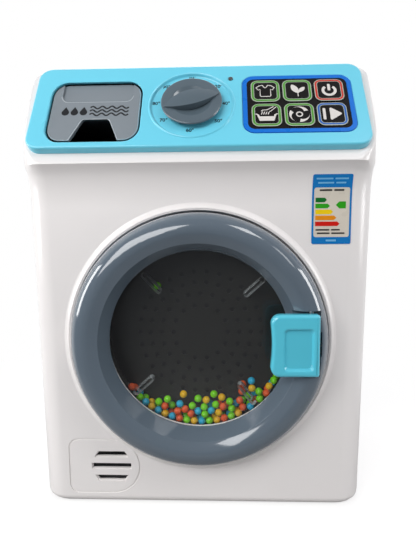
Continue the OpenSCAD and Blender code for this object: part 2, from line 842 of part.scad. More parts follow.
module key(col, row) {
    flange_top = plate_bottom + running_gap;
    on_panel() translate([keys_x + col * key_pitch, keys_s + row * key_pitch / 2, 0]) {
        translate([0, 0, -flange_top - key_flange]) linear_extrude(flange_top + key_flange + key_proud)
            round_rect(key_side, key_side, key_corner_r);
        translate([0, 0, -flange_top - key_flange]) linear_extrude(key_flange)
            round_rect(key_side + 2 * key_flange_w, key_side + 2 * key_flange_w, 4.2);
        translate([0, 0, -stem_end]) cylinder(r = stem_r, h = stem_end, $fn = 32);
    }
}

module key_garment() {
    color("#3f9a2c") key(-1, 1);
}

module key_leaf() {
    color("#4ca332") key(0, 1);
}

module key_power() {
    color("#c9311f") key(1, 1);
}

module key_handwash() {
    color("#3f9a2c") key(-1, -1);
}

module key_spin() {
    color("#4ca332") key(0, -1);
}

module key_start() {
    color("#1f6fc4") key(1, -1);
}

module key_switches() {
    color(steel) on_panel() for (col = [-1 : 1], row = [-1, 1])
        translate([keys_x + col * key_pitch, keys_s + row * key_pitch / 2, -board_h]) {
            translate([-tact_side / 2, -tact_side / 2, 0])
                cube([tact_side, tact_side, board_h - tact_top - 0.8]);
            cylinder(r = 1.7, h = board_h - tact_top, $fn = 32);
        }
}

module circuit_board() {
    color("#2d7a45") on_panel() difference() {
        translate([board_x0, board_s0, -board_h - board_t])
            cube([board_x1 - board_x0, board_s1 - board_s0, board_t]);
        for (p = board_posts)
            translate([p[0], p[1], -board_h - 2 * board_t])
                cylinder(r = screw_r + 0.2, h = 3 * board_t, $fn = 24);
    }
}

module board_screws() {
    color(steel) on_panel() for (p = board_posts)
        translate([p[0], p[1], -board_h - board_t]) rotate([180, 0, 0]) screw(6, screw_r - 0.1, 2.4);
}

// Where the flat facets of the front stand at height z, so that the label lies on them.
function facet_step() = (lip_z - cove_z) / cove_steps;
function facet_at(z) =
    z <= cove_z ? 0 :
    let (i = floor((z - cove_z) / facet_step()), z0 = cove_z + i * facet_step())
    let (a = cove_at(z0), b = cove_at(z0 + facet_step()))
    a + (b - a) * (z - z0) / facet_step();

module rating_label() {
    z1 = label_z0 + label_h;
    inner = [for (i = [0 : cove_steps]) cove_z + i * facet_step()];
    levels = concat([label_z0], [for (z = inner) if (z > label_z0 && z < z1) z], [z1]);
    profile = concat([for (z = levels) [-facet_at(z), z]],
        [for (i = [len(levels) - 1 : -1 : 0]) [-facet_at(levels[i]) - label_t, levels[i]]]);
    color("#3fb0e0") at_face() translate([label_x0, 0, 0]) rotate([90, 0, 90]) linear_extrude(label_w)
        polygon(profile);
}

ring_shoulder = 4;
ring_back = 2.6;
shoulder_r = door_r - crest_r;
crest_step = crest_out - ring_shoulder;
back_plate_t = 1.8;
window_front = 0.7;
crease_out = 11.4;

// The ring's section from its outer back edge over the crest to the window.
function ring_outside() = concat([[door_r, -ring_back]],
    [for (i = [0 : 10]) [crest_r + shoulder_r * cos(9 * i), ring_shoulder + crest_step * sin(9 * i)]],
    [[crest_r - 2, crest_out - 0.4], [crease_r + 1.6, crease_out + 0.8], [crease_r + 0.3, crease_out + 0.2],
        [crease_r, crease_out - 0.5], [window_r, window_front + 0.4], [window_r, window_front]]);

function ring_inside() = concat([[window_r + ring_wall + 0.4, window_front],
        [crease_r + ring_wall, crease_out - ring_wall]],
    [for (i = [10 : -1 : 0]) [crest_r + (shoulder_r - ring_wall) * cos(9 * i),
        ring_shoulder + (crest_step - ring_wall) * sin(9 * i)]],
    [[door_r - ring_wall, -ring_back]]);

module ring_envelope() {
    on_door() rotate_extrude() polygon(concat(ring_outside(), [[window_r + 2, window_front],
        [window_r + ring_wall + 4, -window_t], [window_r + ring_wall + 8, -ring_back + back_plate_t]]));
}

pocket_gap = 1.3;
pocket_floor = 9;
pocket_wall = 1.8;
lug_half = 6;

module handle_pocket(grow, floor_out) {
    on_door() box(handle_x0 - 2 - grow, handle_x0 + handle_w + pocket_gap + grow,
        handle_up - handle_h / 2 - pocket_gap - grow, handle_up + handle_h / 2 + pocket_gap + grow,
        floor_out, handle_out + 2);
}

module handle_axis(len, r) {
    on_door() translate([handle_pin_x, handle_up + len / 2, handle_pin_out]) rotate([90, 0, 0])
        cylinder(r = r, h = len, $fn = 32);
}

module hinge_axis(len, r) {
    on_door() translate([-hinge_x, len / 2, hinge_out]) rotate([90, 0, 0])
        cylinder(r = r, h = len, $fn = 32);
}

hinge_boss_half = 14;

module door_ring() {
    color(ring_grey) difference() {
        union() {
            on_door() rotate_extrude() polygon(concat(ring_outside(), ring_inside()));
            intersection() {
                ring_envelope();
                handle_pocket(pocket_wall, pocket_floor - pocket_wall);
            }
            intersection() {
                ring_envelope();
                on_door() box(-door_r, -hinge_x + 5, -hinge_boss_half, hinge_boss_half, 0, crest_out);
            }
        }
        handle_pocket(0, pocket_floor);
        on_door() box(tongue_x - 7, tongue_x + tongue_t + 3.5, handle_up - lug_half - 0.8,
            handle_up + lug_half + 0.8,
            0, crest_out);
        handle_axis(handle_h + 2 * pocket_wall + 2 * pocket_gap - 0.8, handle_pin_r + 0.03);
        hinge_axis(2 * hinge_boss_half - 2, hinge_pin_r + 0.02);
        hinge_axis(2 * hinge_half + 0.8, knuckle_r + running_gap);
        on_door() box(-door_r - 2, -hinge_x + arm_half + 0.6, -hinge_half - 0.4, hinge_half + 0.4,
            -ring_back - 1,
            hinge_out + arm_half + 0.4);
    }
}

window_edge_r = window_r + 4;
module door_window() {
    color([0.75, 0.8, 0.84, 0.35]) on_door() translate([0, 0, window_front - window_t])
        cylinder(r = window_edge_r, h = window_t);
}

module door_back_ring() {
    color(ring_grey) difference() {
        on_door() translate([0, 0, -ring_back])
            tube(door_r - ring_wall, window_r + 1.2, ring_back + window_front - window_t);
        on_door() box(tongue_x - 7, tongue_x + tongue_t + 3.5, handle_up - tongue_half - 1.5,
            handle_up + tongue_half + 1.5, -ring_back - 1, ring_back);
        on_door() box(-door_r, -hinge_x + 5 + running_gap, -hinge_boss_half - running_gap,
            hinge_boss_half + running_gap, -ring_back - 1, ring_back);
    }
}

module hinge_bracket() {
    foot_z = -seat_depth - seat_t - foot_t;
    color(white_plastic) difference() {
        union() {
            hinge_axis(2 * hinge_half, knuckle_r);
            on_door() box(-hinge_x - arm_half, -hinge_x + arm_half, -hinge_half, hinge_half, foot_z,
                hinge_out);
            on_door() box(-hinge_x - arm_half, -hinge_screw_x + 2.9, -hinge_screw_up - 3.5,
                hinge_screw_up + 3.5,
                foot_z, foot_z + foot_t);
        }
        hinge_axis(4 * hinge_half, hinge_pin_r + shaft_fit);
        for (y = [-hinge_screw_up, hinge_screw_up])
            on_door() translate([-hinge_screw_x, y, foot_z - 1])
                cylinder(r = screw_r + 0.1, h = foot_t + 2, $fn = 24);
    }
}

module hinge_pin() {
    color(steel) hinge_axis(2 * hinge_boss_half - 2, hinge_pin_r);
}

module hinge_screws() {
    color(steel) for (y = [-hinge_screw_up, hinge_screw_up])
        on_door() translate([-hinge_screw_x, y, -seat_depth - seat_t - foot_t]) rotate([180, 0, 0])
            screw(seat_t + foot_t - 0.2, screw_r - 0.1, 2.4);
}

pad_w = 13.5;
pad_h = 21.6;
pad_x = 8.6;
pad_sink = 0.5;
handle_corner_r = 5;
grip_hollow = 2.2;

// Front view of the handle: rounded on the left, where the edge is drawn in a little.
module handle_outline() {
    h = handle_h / 2;
    r = handle_corner_r;
    polygon(concat(arc(handle_w - 1.5, h - 1.5, 1.5, 0, 90, 4), arc(r, h - r, r, 90, 180, 8),
        [for (i = [1 : 5]) [0.8 * sin(180 * i / 6), (h - r) * (1 - i / 3)]],
        arc(r, r - h, r, 180, 270, 8), arc(handle_w - 1.5, 1.5 - h, 1.5, 270, 360, 4)));
}

module door_handle() {
    color("#74d3ec") difference() {
        union() {
            on_door() translate([handle_x0, handle_up, handle_out - handle_t]) linear_extrude(handle_t)
                handle_outline();
            on_door() box(handle_pin_x - 3.4, handle_pin_x + 3.2, handle_up - lug_half,
                handle_up + lug_half,
                handle_pin_out - 2.6, handle_out - handle_t + eps);
        }
        on_door() translate([handle_x0 + pad_x + pad_w / 2, handle_up, handle_out - pad_sink])
            linear_extrude(pad_sink + 1)
            round_rect(pad_w, pad_h, 2);
        on_door() box(handle_x0 + 2.2, handle_pin_x - 4, handle_up - handle_h / 2 + 2.2,
            handle_up + handle_h / 2 - 2.2, handle_out - handle_t - 1, handle_out - handle_t + grip_hollow);
        handle_axis(4 * lug_half, handle_pin_r + shaft_fit);
    }
}

module latch_tongue() {
    top = handle_pin_out - 2.6;
    color(dark_plastic) on_door() {
        box(tongue_x, tongue_x + tongue_t, handle_up - tongue_half, handle_up + tongue_half,
            -tongue_reach, top);
        box(tongue_x, tongue_x + tongue_t + hook_out, handle_up - tongue_half, handle_up + tongue_half,
            -tongue_reach, -tongue_reach + hook_t);
    }
}

module handle_pin() {
    color(steel) handle_axis(handle_h + 2 * pocket_wall + 2 * pocket_gap - 1, handle_pin_r);
}

module handle_spring() {
    color(steel) on_door() translate([handle_pin_x, handle_up + lug_half + 7, handle_pin_out])
        rotate([90, 0, 0])
        difference() {
            cylinder(r = handle_pin_r + 0.8, h = 6.6, $fn = 32);
            translate([0, 0, -1]) cylinder(r = handle_pin_r + 0.02, h = 9, $fn = 32);
        }
}

module latch_strike() {
    x0 = tongue_x + tongue_t + hook_out + 2;
    z1 = -seat_depth - seat_t;
    color(white_plastic) on_door() {
        box(x0, x0 + 2, handle_up - tongue_half, handle_up + tongue_half, z1 - 4, z1);
        box(x0, x0 + 4, handle_up - tongue_half, handle_up + tongue_half, z1 - 1.4, z1);
    }
}

drum_back = drum_front + cover_t + chamber_depth;
drum_floor_t = 2;
hub_r = 9;
hub_len = 14;
dimple_r = 1.5;
dimple_d = 0.6;
// Rings of dimples in the drum floor, as [radius, count]
dimple_rows = [[17, 14], [24.3, 20], [31.3, 26], [38, 30]];

module drum() {
    inner = drum_r - drum_wall;
    color(dark_plastic) on_door() difference() {
        union() {
            rotate_extrude() polygon([[0, -drum_back], [inner, -drum_back], [inner, -drum_front],
                [drum_r, -drum_front], [drum_r, -drum_back - drum_floor_t + 1],
                    [drum_r - 1, -drum_back - drum_floor_t],
                [hub_r, -drum_back - drum_floor_t], [hub_r, -drum_back - drum_floor_t - hub_len],
                [0, -drum_back - drum_floor_t - hub_len]]);
        }
        translate([0, 0, -drum_back - drum_floor_t - hub_len - 1]) cylinder(r = shaft_r, h = hub_len + 1);
        for (row = dimple_rows, i = [0 : row[1] - 1])
            rotate([0, 0, 360 * i / row[1]]) translate([row[0], 0, -drum_back - dimple_d])
                cylinder(r = dimple_r, h = dimple_d + 1, $fn = 20);
    }
}

// Places of the paddles, as [angle, distance of the middle from the drum's edge]
paddle_places = [[42, 14.8], [132, 15.8], [222, 11.8], [308, 12.8]];
paddle_w = 3.6;
paddle_wall = 0.8;
paddle_depth = 4.4;
paddle_boss_r = 1.5;

module paddle_outline(len, w) {
    r = w / 2;
    polygon(concat(arc(len / 2 - r, 0, r, -90, 90, 8), arc(r - len / 2, 0, r, 90, 270, 8)));
}

module chamber_cover() {
    color([0.8, 0.84, 0.86, 0.3]) on_door() {
        translate([0, 0, -drum_front - cover_t]) cylinder(r = drum_r - drum_wall, h = cover_t);
        for (p = paddle_places)
            rotate([0, 0, p[0]]) translate([drum_r - p[1], 0, -drum_front - cover_t - paddle_depth]) {
                linear_extrude(paddle_depth + eps) difference() {
                    paddle_outline(paddle_len, paddle_w);
                    paddle_outline(paddle_len - 2 * paddle_wall, paddle_w - 2 * paddle_wall);
                }
                translate([paddle_len / 2 - paddle_w / 2, 0, 0])
                    cylinder(r = paddle_boss_r, h = paddle_depth + eps,
                    $fn = 24);
            }
    }
}

// Beads lie in a loose heap on the drum's wall, in one row against the cover and one against the floor.
// Each place is [right, up] from the drum's axis, for the reach that the heap was laid out with.
heap_reach = 54.6;
bead_play = 0.15;
bead_reach = drum_r - drum_wall - bead_d / 2 - bead_play;
bead_near = drum_front + cover_t + bead_d / 2 + 0.25;
bead_far = drum_back - bead_d / 2 - 0.25;
green_near = [
    [-37.75, -39.45], [-8.74, -53.9], [5.31, -54.34], [19.02, -51.18], [36.37, -40.1], [44.88, -28.36],
    [46.66, -24.01], [-26.02, -42.35], [-20.6, -40.7], [-5.2, -44.87], [2.49, -50.28], [2.14, -45.6],
    [9.22, -43.99], [17.94, -41.94], [19.15, -46.48], [-1.64, -40.24], [8.18, -37.31], [35.78, -35.44]
];
green_far = [
    [-18.49, -46.5], [-10.7, -49.03], [6.21, -49.9], [25.94, -43.12], [29.5, -40.05], [-35.2, -41.74],
    [-27.53, -47.15], [-10, -53.68], [4.04, -54.45], [13.31, -52.95], [30.4, -45.35], [38.38, -38.83],
    [47.03, -27.74], [-26.14, 29.62]
];
orange_near = [
    [-42.78, -32.85], [-13.34, -52.94], [14.54, -52.63], [26.03, -45.5], [40.36, -36.48],
    [-22.22, -45.11], [-14.36, -48.26], [-9.73, -47.03], [-6.1, -50.01], [13.77, -45.23],
    [24.15, -41.19]
];
orange_far = [
    [-2.35, -50.21], [11.14, -45.77], [15.8, -46.34], [26.17, -32.67], [25.64, -37.34],
    [34.19, -42.57], [-41.83, -35.09], [-19.04, -51.17], [-5.35, -54.34], [26.39, -47.8],
    [41.58, -35.39]
];
yellow_near = [
    [-30.43, -45.33], [-22.22, -49.88], [-4.08, -54.45], [9.97, -53.68], [23.35, -49.36],
    [42.02, -32.09], [11.1, -49.1], [3.43, -41.08], [-10.65, -37.42], [13.06, -39.27], [31.52, -33.45]
];
yellow_far = [
    [-31.48, -44.61], [-14.57, -52.62], [8.71, -53.9], [22.18, -49.89]
];
blue_near = [
    [-34.22, -42.55], [-26.42, -47.78], [-17.85, -51.6], [0.62, -54.6], [30.72, -45.14],
    [-12.99, -43.64], [-1.74, -48.24], [6.48, -47.81], [31.23, -28.76]
];
blue_far = [
    [5.48, -45.26], [21.73, -45.21], [-38.66, -38.56], [-23.37, -49.34], [-0.66, -54.6],
    [17.81, -51.61], [33.73, -37.89], [44.47, -31.68]
];

module bead_row(places, depth) {
    on_door() for (p = places)
        translate([p[0] * bead_reach / heap_reach, p[1] * bead_reach / heap_reach, -depth])
            sphere(d = bead_d, $fn = 24);
}

module beads_green() {
    color("#8fd02c") {
        bead_row(green_near, bead_near);
        bead_row(green_far, bead_far);
    }
}

module beads_orange() {
    color("#e8703a") {
        bead_row(orange_near, bead_near);
        bead_row(orange_far, bead_far);
    }
}

module beads_yellow() {
    color("#f0b820") {
        bead_row(yellow_near, bead_near);
        bead_row(yellow_far, bead_far);
    }
}

module beads_blue() {
    color("#48a8c0") {
        bead_row(blue_near, bead_near);
        bead_row(blue_far, bead_far);
    }
}

shaft_front = drum_back + drum_floor_t;
bush_r = 7.5;
drum_gear_y = plate_depth + plate_t + 5;
idler_gear_y = drum_gear_y + gear_t + 1.5;
cover_y = idler_gear_y + gear_t + 1.5;
cover_plate = 2.4;
shaft_end = drum_gear_y + gear_t + 1;

module drum_shaft() {
    color(steel) on_door() translate([0, 0, -shaft_end]) cylinder(r = shaft_r, h = shaft_end - shaft_front);
}

module drum_bush() {
    color("#c9a45c") on_door() difference() {
        union() {
            translate([0, 0, -plate_depth - plate_t - 1.5]) cylinder(r = bush_r, h = plate_t + 3);
            translate([0, 0, -plate_depth]) cylinder(r = bush_r + 2, h = 1.5);
        }
        translate([0, 0, -plate_depth - 2 * plate_t]) cylinder(r = shaft_r + shaft_fit, h = 4 * plate_t);
    }
}

function pitch_r(n) = gear_module * n / 2;
idler_angle = 62;
motor_angle = 95;
mesh_play = 0.08;
idler_dist = pitch_r(drum_gear_teeth) + pitch_r(idler_small_teeth) + mesh_play;
motor_dist = pitch_r(idler_large_teeth) + pitch_r(motor_teeth) + mesh_play;
idler_at = [idler_dist * cos(idler_angle), idler_dist * sin(idler_angle)];
motor_at = idler_at + [motor_dist * cos(motor_angle), motor_dist * sin(motor_angle)];
cover_posts = [[-38, 12], [44, 4], [-14, 84], [46, 84]];
cover_post_r = 4;
cover_mid_at = [4, 44];
cover_side = 94;
plate_rise = 20;
plate_hole_r = 9;
plate_holes = [[-30, -22], [30, -22]];

module drive_plate() {
    half = post_at + 5;
    color(dark_plastic) on_door() difference() {
        translate([0, 0, -plate_depth - plate_t]) union() {
            linear_extrude(plate_t) difference() {
                translate([0, plate_rise]) round_rect(2 * half, 2 * half + 2 * plate_rise, 8);
                for (p = plate_holes) translate(p) circle(r = plate_hole_r);
            }
            for (p = cover_posts)
                translate([p[0], p[1], -(cover_y - plate_depth - plate_t)])
                    cylinder(r = cover_post_r, h = cover_y - plate_depth - plate_t + eps, $fn = 32);
        }
        translate([0, 0, -plate_depth - 2 * plate_t]) cylinder(r = bush_r, h = 3 * plate_t);
        translate([idler_at[0], idler_at[1], -plate_depth - 2 * plate_t])
            cylinder(r = idler_pin_r, h = 3 * plate_t,
            $fn = 32);
        for (x = [-post_at, post_at], y = [-post_at, post_at])
            translate([x, y, -plate_depth - 2 * plate_t])
                cylinder(r = screw_r + 0.2, h = 3 * plate_t, $fn = 24);
        for (p = cover_posts)
            translate([p[0], p[1], -cover_y - 1]) cylinder(r = screw_r, h = 9, $fn = 24);
    }
}

module drive_plate_screws() {
    color(steel) for (x = [-post_at, post_at], y = [-post_at, post_at])
        on_door() translate([x, y, -plate_depth - plate_t]) rotate([180, 0, 0])
            screw(drive_screw_len - 0.5, screw_r - 0.1, drive_screw_head_r);
}

pressure_angle = 25;
addendum = 0.8;
dedendum = 1.05;
flank_steps = 3;
function involute_turn(r, base) = r <= base ? 0 :
    let (t = sqrt(r * r / base / base - 1)) t * 180 / PI - atan(t);

// Outline of a spur gear with one tooth centred on the X axis.
module gear_outline(n) {
    pitch = pitch_r(n);
    base = pitch * cos(pressure_angle);
    tip = pitch + addendum * gear_module;
    root = pitch - dedendum * gear_module;
    half = 90 / n - backlash / 4 / pitch * 180 / PI + involute_turn(pitch, base);
    radii = [for (i = [0 : flank_steps]) max(base, root) + (tip - max(base, root)) * i / flank_steps];
    polygon([for (k = [0 : n - 1]) each concat(
        [let (a = k * 360 / n - half) root * [cos(a), sin(a)]],
        [for (r = radii) let (a = k * 360 / n - half + involute_turn(r, base)) r * [cos(a), sin(a)]],
        [for (i = [flank_steps : -1 : 0])
            let (r = radii[i], a = k * 360 / n + half - involute_turn(r, base))
            r * [cos(a), sin(a)]],
        [let (a = k * 360 / n + half) root * [cos(a), sin(a)]])]);
}

module gear(n, bore, turn) {
    difference() {
        rotate([0, 0, turn]) linear_extrude(gear_t) gear_outline(n);
        translate([0, 0, -1]) cylinder(r = bore, h = gear_t + 2, $fn = 48);
    }
}

module drum_gear() {
    color("#e8e2d0") on_door() translate([0, 0, -drum_gear_y - gear_t])
        gear(drum_gear_teeth, shaft_r, idler_angle);
}

idler_pin_r = 2;
module idler_gear() {
    small_turn = idler_angle + 180 + 180 / idler_small_teeth;
    color("#d8d2c0") on_door() translate([idler_at[0], idler_at[1], 0]) difference() {
        union() {
            translate([0, 0, -drum_gear_y - gear_t])
                gear(idler_small_teeth, idler_pin_r + shaft_fit, small_turn);
            translate([0, 0, -idler_gear_y - gear_t])
                gear(idler_large_teeth, idler_pin_r + shaft_fit, motor_angle);
            translate([0, 0, -idler_gear_y - eps])
                tube(5, idler_pin_r + shaft_fit, idler_gear_y - drum_gear_y - gear_t + 2 * eps);
        }
        translate([0, 0, -idler_gear_y - 2 * gear_t])
            cylinder(r = idler_pin_r + shaft_fit, h = 5 * gear_t, $fn = 32);
    }
}

module idler_pin() {
    color(steel) on_door() translate([idler_at[0], idler_at[1], -cover_y - cover_plate])
        cylinder(r = idler_pin_r, h = cover_y + cover_plate - plate_depth, $fn = 32);
}

motor_shaft_r = 1;
module motor_pinion() {
    color("#e8e2d0") on_door() translate([motor_at[0], motor_at[1], -idler_gear_y - gear_t])
        gear(motor_teeth, motor_shaft_r, motor_angle + 180 + 180 / motor_teeth);
}

module motor_shaft() {
    color(steel) on_door() translate([motor_at[0], motor_at[1], -cover_y - cover_plate - motor_len + 2])
        cylinder(r = motor_shaft_r, h = cover_y + cover_plate + motor_len - 2 - idler_gear_y + 1, $fn = 32);
}

motor_flat = 7.6;
motor_nose_r = 3;
module motor() {
    y1 = cover_y + cover_plate + motor_len;
    color(steel) on_door() translate([motor_at[0], motor_at[1], -y1]) difference() {
        union() {
            linear_extrude(motor_len) intersection() {
                circle(r = motor_r);
                square([2 * motor_r, 2 * motor_flat], center = true);
            }
            cylinder(r = motor_nose_r, h = motor_len + 1.6, $fn = 32);
        }
        translate([0, 0, 1]) cylinder(r = motor_shaft_r + shaft_fit, h = motor_len + 2, $fn = 32);
    }
}

module gear_cover() {
    color(dark_plastic) on_door() difference() {
        translate([cover_mid_at[0], cover_mid_at[1], -cover_y - cover_plate]) linear_extrude(cover_plate)
            round_rect(cover_side, cover_side, 8);
        translate([idler_at[0], idler_at[1], -cover_y - 2 * cover_plate]) cylinder(r = idler_pin_r,
            h = 3 * cover_plate, $fn = 32);
        translate([motor_at[0], motor_at[1], -cover_y - 2 * cover_plate]) cylinder(r = motor_nose_r,
            h = 3 * cover_plate, $fn = 32);
        translate([0, 0, -cover_y - 2 * cover_plate])
            cylinder(r = shaft_r + 2, h = 3 * cover_plate, $fn = 32);
        for (p = cover_posts)
            translate([p[0], p[1], -cover_y - 2 * cover_plate])
                cylinder(r = screw_r + 0.2, h = 3 * cover_plate, $fn = 24);
    }
}

cover_screw_len = 9;
drive_screw_head_r = 2.6;
module gear_cover_screws() {
    color(steel) for (p = cover_posts)
        on_door() translate([p[0], p[1], -cover_y - cover_plate]) rotate([180, 0, 0])
            screw(cover_screw_len, screw_r - 0.1, drive_screw_head_r);
}

speaker_rim = 2.6;
speaker_frame_t = 2.4;
cone_sink = 0.9;
magnet_r = 9;
magnet_y0 = 6;
magnet_y1 = 12;

module loudspeaker() {
    color("#24262a") at_face() translate([speaker_x, wall, speaker_z]) rotate([-90, 0, 0]) rotate_extrude()
        polygon([[0, speaker_rim], [speaker_r - 2 * speaker_rim, cone_sink],
            [speaker_r - speaker_rim, cone_sink],
            [speaker_r - speaker_rim + 0.4, 0], [speaker_r, 0], [speaker_r, speaker_frame_t - 0.8],
            [speaker_r - 3, speaker_frame_t], [magnet_r, magnet_y0], [magnet_r, magnet_y1],
                [0, magnet_y1]]);
}

battery_y1 = body_depth - cover_plate_t - wall;
module battery_box() {
    w = battery_x + battery_floor;
    y0 = battery_y1 - battery_depth - battery_floor;
    color(dark_plastic) at_face() difference() {
        box(-w, w, y0, battery_y1, battery_z0 - battery_floor, battery_z1 + battery_floor);
        box(-battery_x, battery_x, y0 + battery_floor, battery_y1 + 1, battery_z0, battery_z1);
    }
}

module battery_cells() {
    y = battery_y1 - battery_depth + cell_d / 2 + 0.1;
    color("#2f6a3a") at_face() for (i = [0 : cell_count - 1])
        translate([-cell_len / 2, y, cell_z0 + i * cell_pitch]) rotate([0, 90, 0]) {
            cylinder(d = cell_d, h = cell_len - 1);
            cylinder(r = 2.6, h = cell_len);
        }
}

plus_disc_r = 5;
minus_disc_r = 4;
module battery_contacts() {
    y = battery_y1 - battery_depth + cell_d / 2 + 0.1;
    color(steel) at_face() for (i = [0 : cell_count - 1]) {
        translate([cell_len / 2, y, cell_z0 + i * cell_pitch]) rotate([0, 90, 0])
            cylinder(r = plus_disc_r, h = battery_x - cell_len / 2);
        translate([-battery_x, y, cell_z0 + i * cell_pitch]) rotate([0, 90, 0])
            cylinder(r = minus_disc_r, h = battery_x - cell_len / 2);
    }
}

thumb_grooves = 5;
thumb_groove_up = 5;
thumb_groove_pitch = 1.8;
thumb_groove_w = 16;
thumb_groove_d = 0.6;

module battery_cover() {
    color(white_plastic) difference() {
        front_view(body_depth - cover_plate_t, body_depth) translate([0, cover_mid])
            round_rect(cover_w, cover_h, 3);
        front_view(body_depth - 2 * cover_plate_t, body_depth + 1) translate([0, cover_screw_z])
            circle(r = screw_r + 0.2, $fn = 24);
        for (i = [0 : thumb_grooves - 1])
            front_view(body_depth - thumb_groove_d, body_depth + 1)
                translate([0, battery_z0 + thumb_groove_up + i * thumb_groove_pitch])
                    square([thumb_groove_w, thumb_groove_pitch / 2], center = true);
    }
}

module battery_cover_screw() {
    color(steel) at_face() translate([0, body_depth, cover_screw_z]) rotate([-90, 0, 0])
        screw(9, screw_r - 0.1, 2.4);
}

module case_screws() {
    for (side = [-1, 1], z = column_heights)
        color(steel) at_face() translate([side * column_x, split_depth + column_end, z]) rotate([-90, 0, 0])
            screw(screw_bite, screw_r - 0.1);
}

front_shell();
back_shell();
control_panel();
drawer_housing();
drawer_front();
drawer_tray();
dial_knob();
dial_shaft();
dial_switch();
indicator_lens();
indicator_lamp();
key_surround();
key_plate();
key_garment();
key_leaf();
key_power();
key_handwash();
key_spin();
key_start();
key_switches();
circuit_board();
board_screws();
rating_label();
door_ring();
door_window();
door_back_ring();
hinge_bracket();
hinge_pin();
hinge_screws();
door_handle();
latch_tongue();
handle_pin();
handle_spring();
latch_strike();
drum();
chamber_cover();
beads_green();
beads_orange();
beads_yellow();
beads_blue();
drum_shaft();
drum_bush();
drive_plate();
drive_plate_screws();
drum_gear();
idler_gear();
idler_pin();
motor_pinion();
motor_shaft();
motor();
gear_cover();
gear_cover_screws();
loudspeaker();
battery_box();
battery_cells();
battery_contacts();
battery_cover();
battery_cover_screw();
case_screws();
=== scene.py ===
"""Looks of the toy washing machine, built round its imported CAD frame.

Lengths in dataclass fields are in mm, except for the lamps' and the studio's, which are in metres.
"""

import json
import logging
import math
from dataclasses import dataclass, field
from enum import Enum
from typing import Callable, Iterable, Optional, Sequence

import bmesh
import bpy
from mathutils import Matrix, Vector

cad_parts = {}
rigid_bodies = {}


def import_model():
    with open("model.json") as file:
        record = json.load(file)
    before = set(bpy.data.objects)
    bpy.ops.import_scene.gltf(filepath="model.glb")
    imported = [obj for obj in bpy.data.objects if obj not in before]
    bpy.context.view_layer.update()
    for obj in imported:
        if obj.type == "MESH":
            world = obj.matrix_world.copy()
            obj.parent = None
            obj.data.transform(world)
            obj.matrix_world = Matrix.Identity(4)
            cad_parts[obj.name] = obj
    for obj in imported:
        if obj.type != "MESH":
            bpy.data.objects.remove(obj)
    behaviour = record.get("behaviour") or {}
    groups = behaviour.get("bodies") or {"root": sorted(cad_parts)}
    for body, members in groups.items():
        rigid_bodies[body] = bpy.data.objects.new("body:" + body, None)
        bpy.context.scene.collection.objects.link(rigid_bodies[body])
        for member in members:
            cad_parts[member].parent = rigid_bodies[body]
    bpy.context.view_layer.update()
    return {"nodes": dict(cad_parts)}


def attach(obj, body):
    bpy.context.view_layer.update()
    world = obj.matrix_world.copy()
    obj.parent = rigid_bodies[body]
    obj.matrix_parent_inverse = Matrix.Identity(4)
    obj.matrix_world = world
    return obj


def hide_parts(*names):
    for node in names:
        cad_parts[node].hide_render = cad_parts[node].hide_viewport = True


for leftover in list(bpy.data.objects):
    bpy.data.objects.remove(leftover)
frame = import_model()

LOG = logging.getLogger("washing_machine")
MM = 0.001
WHITE = (1, 1, 1, 1)

# The case's front, the door's centre, and the dial's centre right and up the panel, in mm.
FACE_Y = -70.0
DOOR_Z = 101.4
DIAL_CENTRE = (-3.2, 30.0)

# Vertices closer than this are one: in mm on a CAD node, in metres on a new shape.
MERGE_MM = 0.004
SAME_SPOT = 1e-7

# A spot nearer to a plane than this lies in it.
IN_PLANE_MM = 0.02

# Faces closer in angle than this are one flat face, and edges sharper than this stay sharp.
FLAT_ANGLE = math.radians(0.4)
SMOOTH_ANGLE = math.radians(38)

# Roundings of small edges.
FINE_EDGE_MM = 0.12
SMALL_EDGE_MM = 0.2

# Roughness of the smoothest skin and of every clear coat.
SMOOTHEST = 0.02
COAT_ROUGHNESS = 0.04

# A digit's height as a share of its font's size, and what thickens it as a share of its height.
DIGIT_SHARE = 0.69
DIGIT_WEIGHT = 0.04

Point = tuple[float, float]
Outline = list[Point]


def linear(colour: str) -> tuple[float, float, float, float]:
    """Turns an sRGB hex colour into linear RGBA.

    Args:
        colour: a colour such as "#aabbcc".

    Returns:
        The linear colour with full alpha.
    """
    parts = [int(colour[i:i + 2], 16) / 255 for i in (1, 3, 5)]
    return (*[c / 12.92 if c <= 0.04045 else ((c + 0.055) / 1.055) ** 2.4 for c in parts], 1.0)


def add_node(tree: bpy.types.NodeTree, kind: str, inputs: Optional[dict] = None,
             **settings: object) -> bpy.types.Node:
    """Adds one node with its settings, values and links.

    Args:
        tree: the node tree.
        kind: the node's type name.
        inputs: values or output sockets, by input name or number.
        settings: the node's own settings.

    Returns:
        The new node.
    """
    made = tree.nodes.new(kind)
    for name, value in settings.items():
        setattr(made, name, value)
    for name, value in (inputs or {}).items():
        if isinstance(value, bpy.types.NodeSocket):
            tree.links.new(value, made.inputs[name])
        else:
            made.inputs[name].default_value = value
    return made


def empty_material(name: str) -> tuple[bpy.types.Material, bpy.types.NodeTree]:
    """Makes a material with no nodes.

    Args:
        name: its name.

    Returns:
        The material and its node tree.
    """
    material = bpy.data.materials.new(name)
    material.use_nodes = True
    material.node_tree.nodes.clear()
    return material, material.node_tree


class Stuff(Enum):
    """What a surface is made of: its IOR and how metallic it is."""

    ABS = (1.54, 0.0)
    POLYSTYRENE = (1.59, 0.0)
    INK = (1.4, 0.0)
    FILM = (1.5, 0.0)
    ACETAL = (1.48, 0.0)
    LAMINATE = (1.55, 0.0)
    STEEL = (1.5, 1.0)
    BRONZE = (1.5, 1.0)


